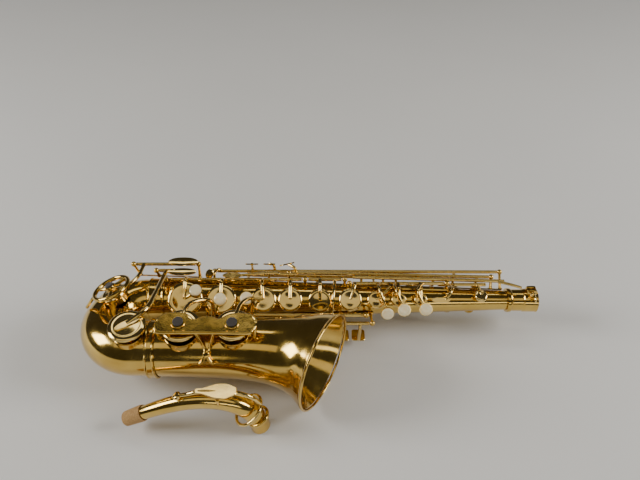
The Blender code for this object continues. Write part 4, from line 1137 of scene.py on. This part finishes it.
def neck():
    path = smooth_path([on_neck(x, height) for x, height in NECK_LINE], 5)
    last = len(path) - 1
    outer = []
    for index in range(last + 1):
        place = index / last * (len(NECK_RADII) - 1)
        low = min(int(place), len(NECK_RADII) - 2)
        outer.append(NECK_RADII[low] + (NECK_RADII[low + 1] - NECK_RADII[low]) * (place - low))
    shape = Shape().pipe(path, outer, [radius - NECK_WALL for radius in outer], 56)
    low, high = on_neck(-73.2, 21), on_neck(-75.0, 25)
    places = (0.0, 0.15, 0.35, 0.65, 0.85, 1.0)
    swell = (13.4, 14.3, 14.6, 14.6, 14.3, 13.4)
    shape.pipe([low.lerp(high, share) for share in places], swell, [11.4] * 6, 56)
    shape.tube([on_neck(-166, 55), on_neck(-163, 62.5)], 2.6, 20)
    for side in (-1, 1):
        foot = on_neck(-116, 60, side * 8.0)
        head = on_neck(-116, 72, side * 9.5)
        shape.tube([foot, foot.lerp(head, 0.5), head], [2.2, 1.8, 2.2], 18)
    piece("neck_tube", "lacquer", shape)
    end = on_neck(*NECK_LINE[-1])
    before = on_neck(*NECK_LINE[-2])
    tail = [end + (before - end) * share for share in (1.1, 0.95)]
    tail += [end + (end - before) * share for share in (0.0, 0.5, 0.55)]
    tip = NECK_RADII[-1] + GAP
    sleeve = [tip + 0.9 + rise for rise in (0.5, 1.0, 0.5, 0.1, -0.4)]
    inside = [8.25 + GAP + 0.3, 8.25 + GAP + 0.2, 8.3, tip + 0.1, tip + 0.1]
    piece("neck_cork", "cork", Shape().pipe(tail, sleeve, inside, 56))


def neck_octave_key():
    pivot = on_neck(-116, 73)
    shape = Shape().tube([on_neck(-116, 73, y) for y in (-6.6, 6.6)], 2.4, 20)
    axis = Vector((-0.37, 0, 0.93)).normalized()
    vent_top = on_neck(-163, 62.5)
    cup = ((0.4, 4.6), (0.7, 5.0), (3.2, 5.2), (4.2, 4.4), (4.6, 3.4), (4.8, 1.5))
    shape.turned(vent_top + Vector((-0.2, 0, 1.4)), axis, cup, 32)
    spine = [pivot, on_neck(-138, 73.5), on_neck(-152, 69), vent_top + Vector((-1, 0, 4.0))]
    arm(shape, spine, 3.0, 2.2)
    half = ((-142, 2.4), (-134, 3.6), (-126, 7.0), (-118, 9.6), (-108, 9.8), (-100, 7.0), (-95, 3.6))
    edge = [on_neck(x, 74, -width) for x, width in half]
    edge += [on_neck(x, 74, width) for x, width in reversed(half)]
    shape.slab(smooth_path(edge + edge[:1], 5)[:-1], (0, 0, 1), 2.0, 0.6)
    centre = on_neck(-84, 37)
    tilt = Vector((0.80, 0, 0.6))
    shape.hoop(centre, Vector((0, 1, 0)), tilt, 19.0, 2.0, 64, 14)
    arm(shape, [on_neck(-100, 73.5), on_neck(-80, 64), centre + tilt * 19.0], 3.0, 2.4)
    piece("neck_octave_key", "key_lacquer", shape, pivot)


def c_sharp_guard():
    seat, normal = bell_seat("low_c_sharp")
    s, angle, _ = BELL_HOLES["low_c_sharp"]
    along = bell_centre(s)[1]
    centre = seat + normal * 13.0
    shape = Shape().tube([centre - along * 24, centre + along * 24], 3.0, 20, 0.6)
    for sign in (-1, 1):
        foot = on_bell(s + 24 * sign, angle, GAP + 0.8)
        shape.tube([centre + along * (22 * sign), foot], 2.2, 18)
    piece("low_c_sharp_guard", "lacquer", shape)


BUILDERS = (
    body_tube, bow, bell, bell_rim, ferrules, neck_receiver, neck_screw, rails, stack_keys, c_key,
    pinky_rail, low_eb_key, low_c_key, low_eb_guard, bell_keys, bell_key_rail, bell_key_guard, bell_brace,
    side_keys, side_key_rail, trill_key, palm_keys, thumb_pieces, octave_keys, neck, neck_octave_key,
    c_sharp_guard,
)
for build in BUILDERS:
    build()


# ---- floor, light and camera

FLOOR_HALF = 6.0


def floor():
    look = Look("pale_floor")
    look.ramp(look.noise(1.5, 3.0), ((0.3, (0.80, 0.80, 0.79)), (0.7, (0.84, 0.84, 0.83))), "Base Color")
    look.set({"Roughness": 0.75})
    look.bump(look.noise(300.0, 4.0), 0.05, 0.0005)
    mesh = bpy.data.meshes.new("floor")
    corners = ((-1, -1), (1, -1), (1, 1), (-1, 1))
    mesh.from_pydata([(x * FLOOR_HALF, y * FLOOR_HALF, 0) for x, y in corners], [], [(0, 1, 2, 3)])
    mesh.materials.append(look.material)
    obj = add_object("floor", mesh)


def soft_box(name, place, width, height, power, colour):
    """An area light in metres and watts, aimed at the object."""
    light = bpy.data.lights.new(name, "AREA")
    light.shape = "RECTANGLE"
    light.size = width
    light.size_y = height
    light.energy = power
    light.color = colour
    obj = add_object(name, light)
    obj.location = place
    obj.rotation_euler = (-Vector(place)).to_track_quat("-Z", "Y").to_euler()


def lights():
    world = bpy.data.worlds.new("dim_room")
    world.use_nodes = True
    bpy.context.scene.world = world
    background = world.node_tree.nodes["Background"]
    background.inputs["Color"].default_value = (1.0, 0.93, 0.82, 1.0)
    background.inputs["Strength"].default_value = 0.05
    soft_box("key_light", (-0.15, -1.05, 1.85), 3.2, 0.75, 5.5, (1.0, 0.90, 0.70))
    soft_box("front_window", (0.25, -1.9, 0.66), 1.8, 0.30, 4.0, (1.0, 0.95, 0.84))
    soft_box("back_light", (0.1, 1.05, 2.05), 2.2, 0.28, 4.5, (1.0, 0.94, 0.80))
    for side, name in ((-1, "left_window"), (1, "right_window")):
        soft_box(name, (side * 2.2, -0.1, 1.3), 1.0, 1.0, 38.0, (1.0, 0.98, 0.95))


def camera():
    data = bpy.data.cameras.new("camera")
    data.lens = 33.75
    data.sensor_width = 36.0
    data.clip_start = 0.01
    obj = add_object("camera", data)
    obj.location = (0.0067, -0.4859, 0.6582)
    obj.rotation_euler = (math.radians(48.0), 0.0, 0.0)
    bpy.context.scene.camera = obj


floor()
lights()
camera()
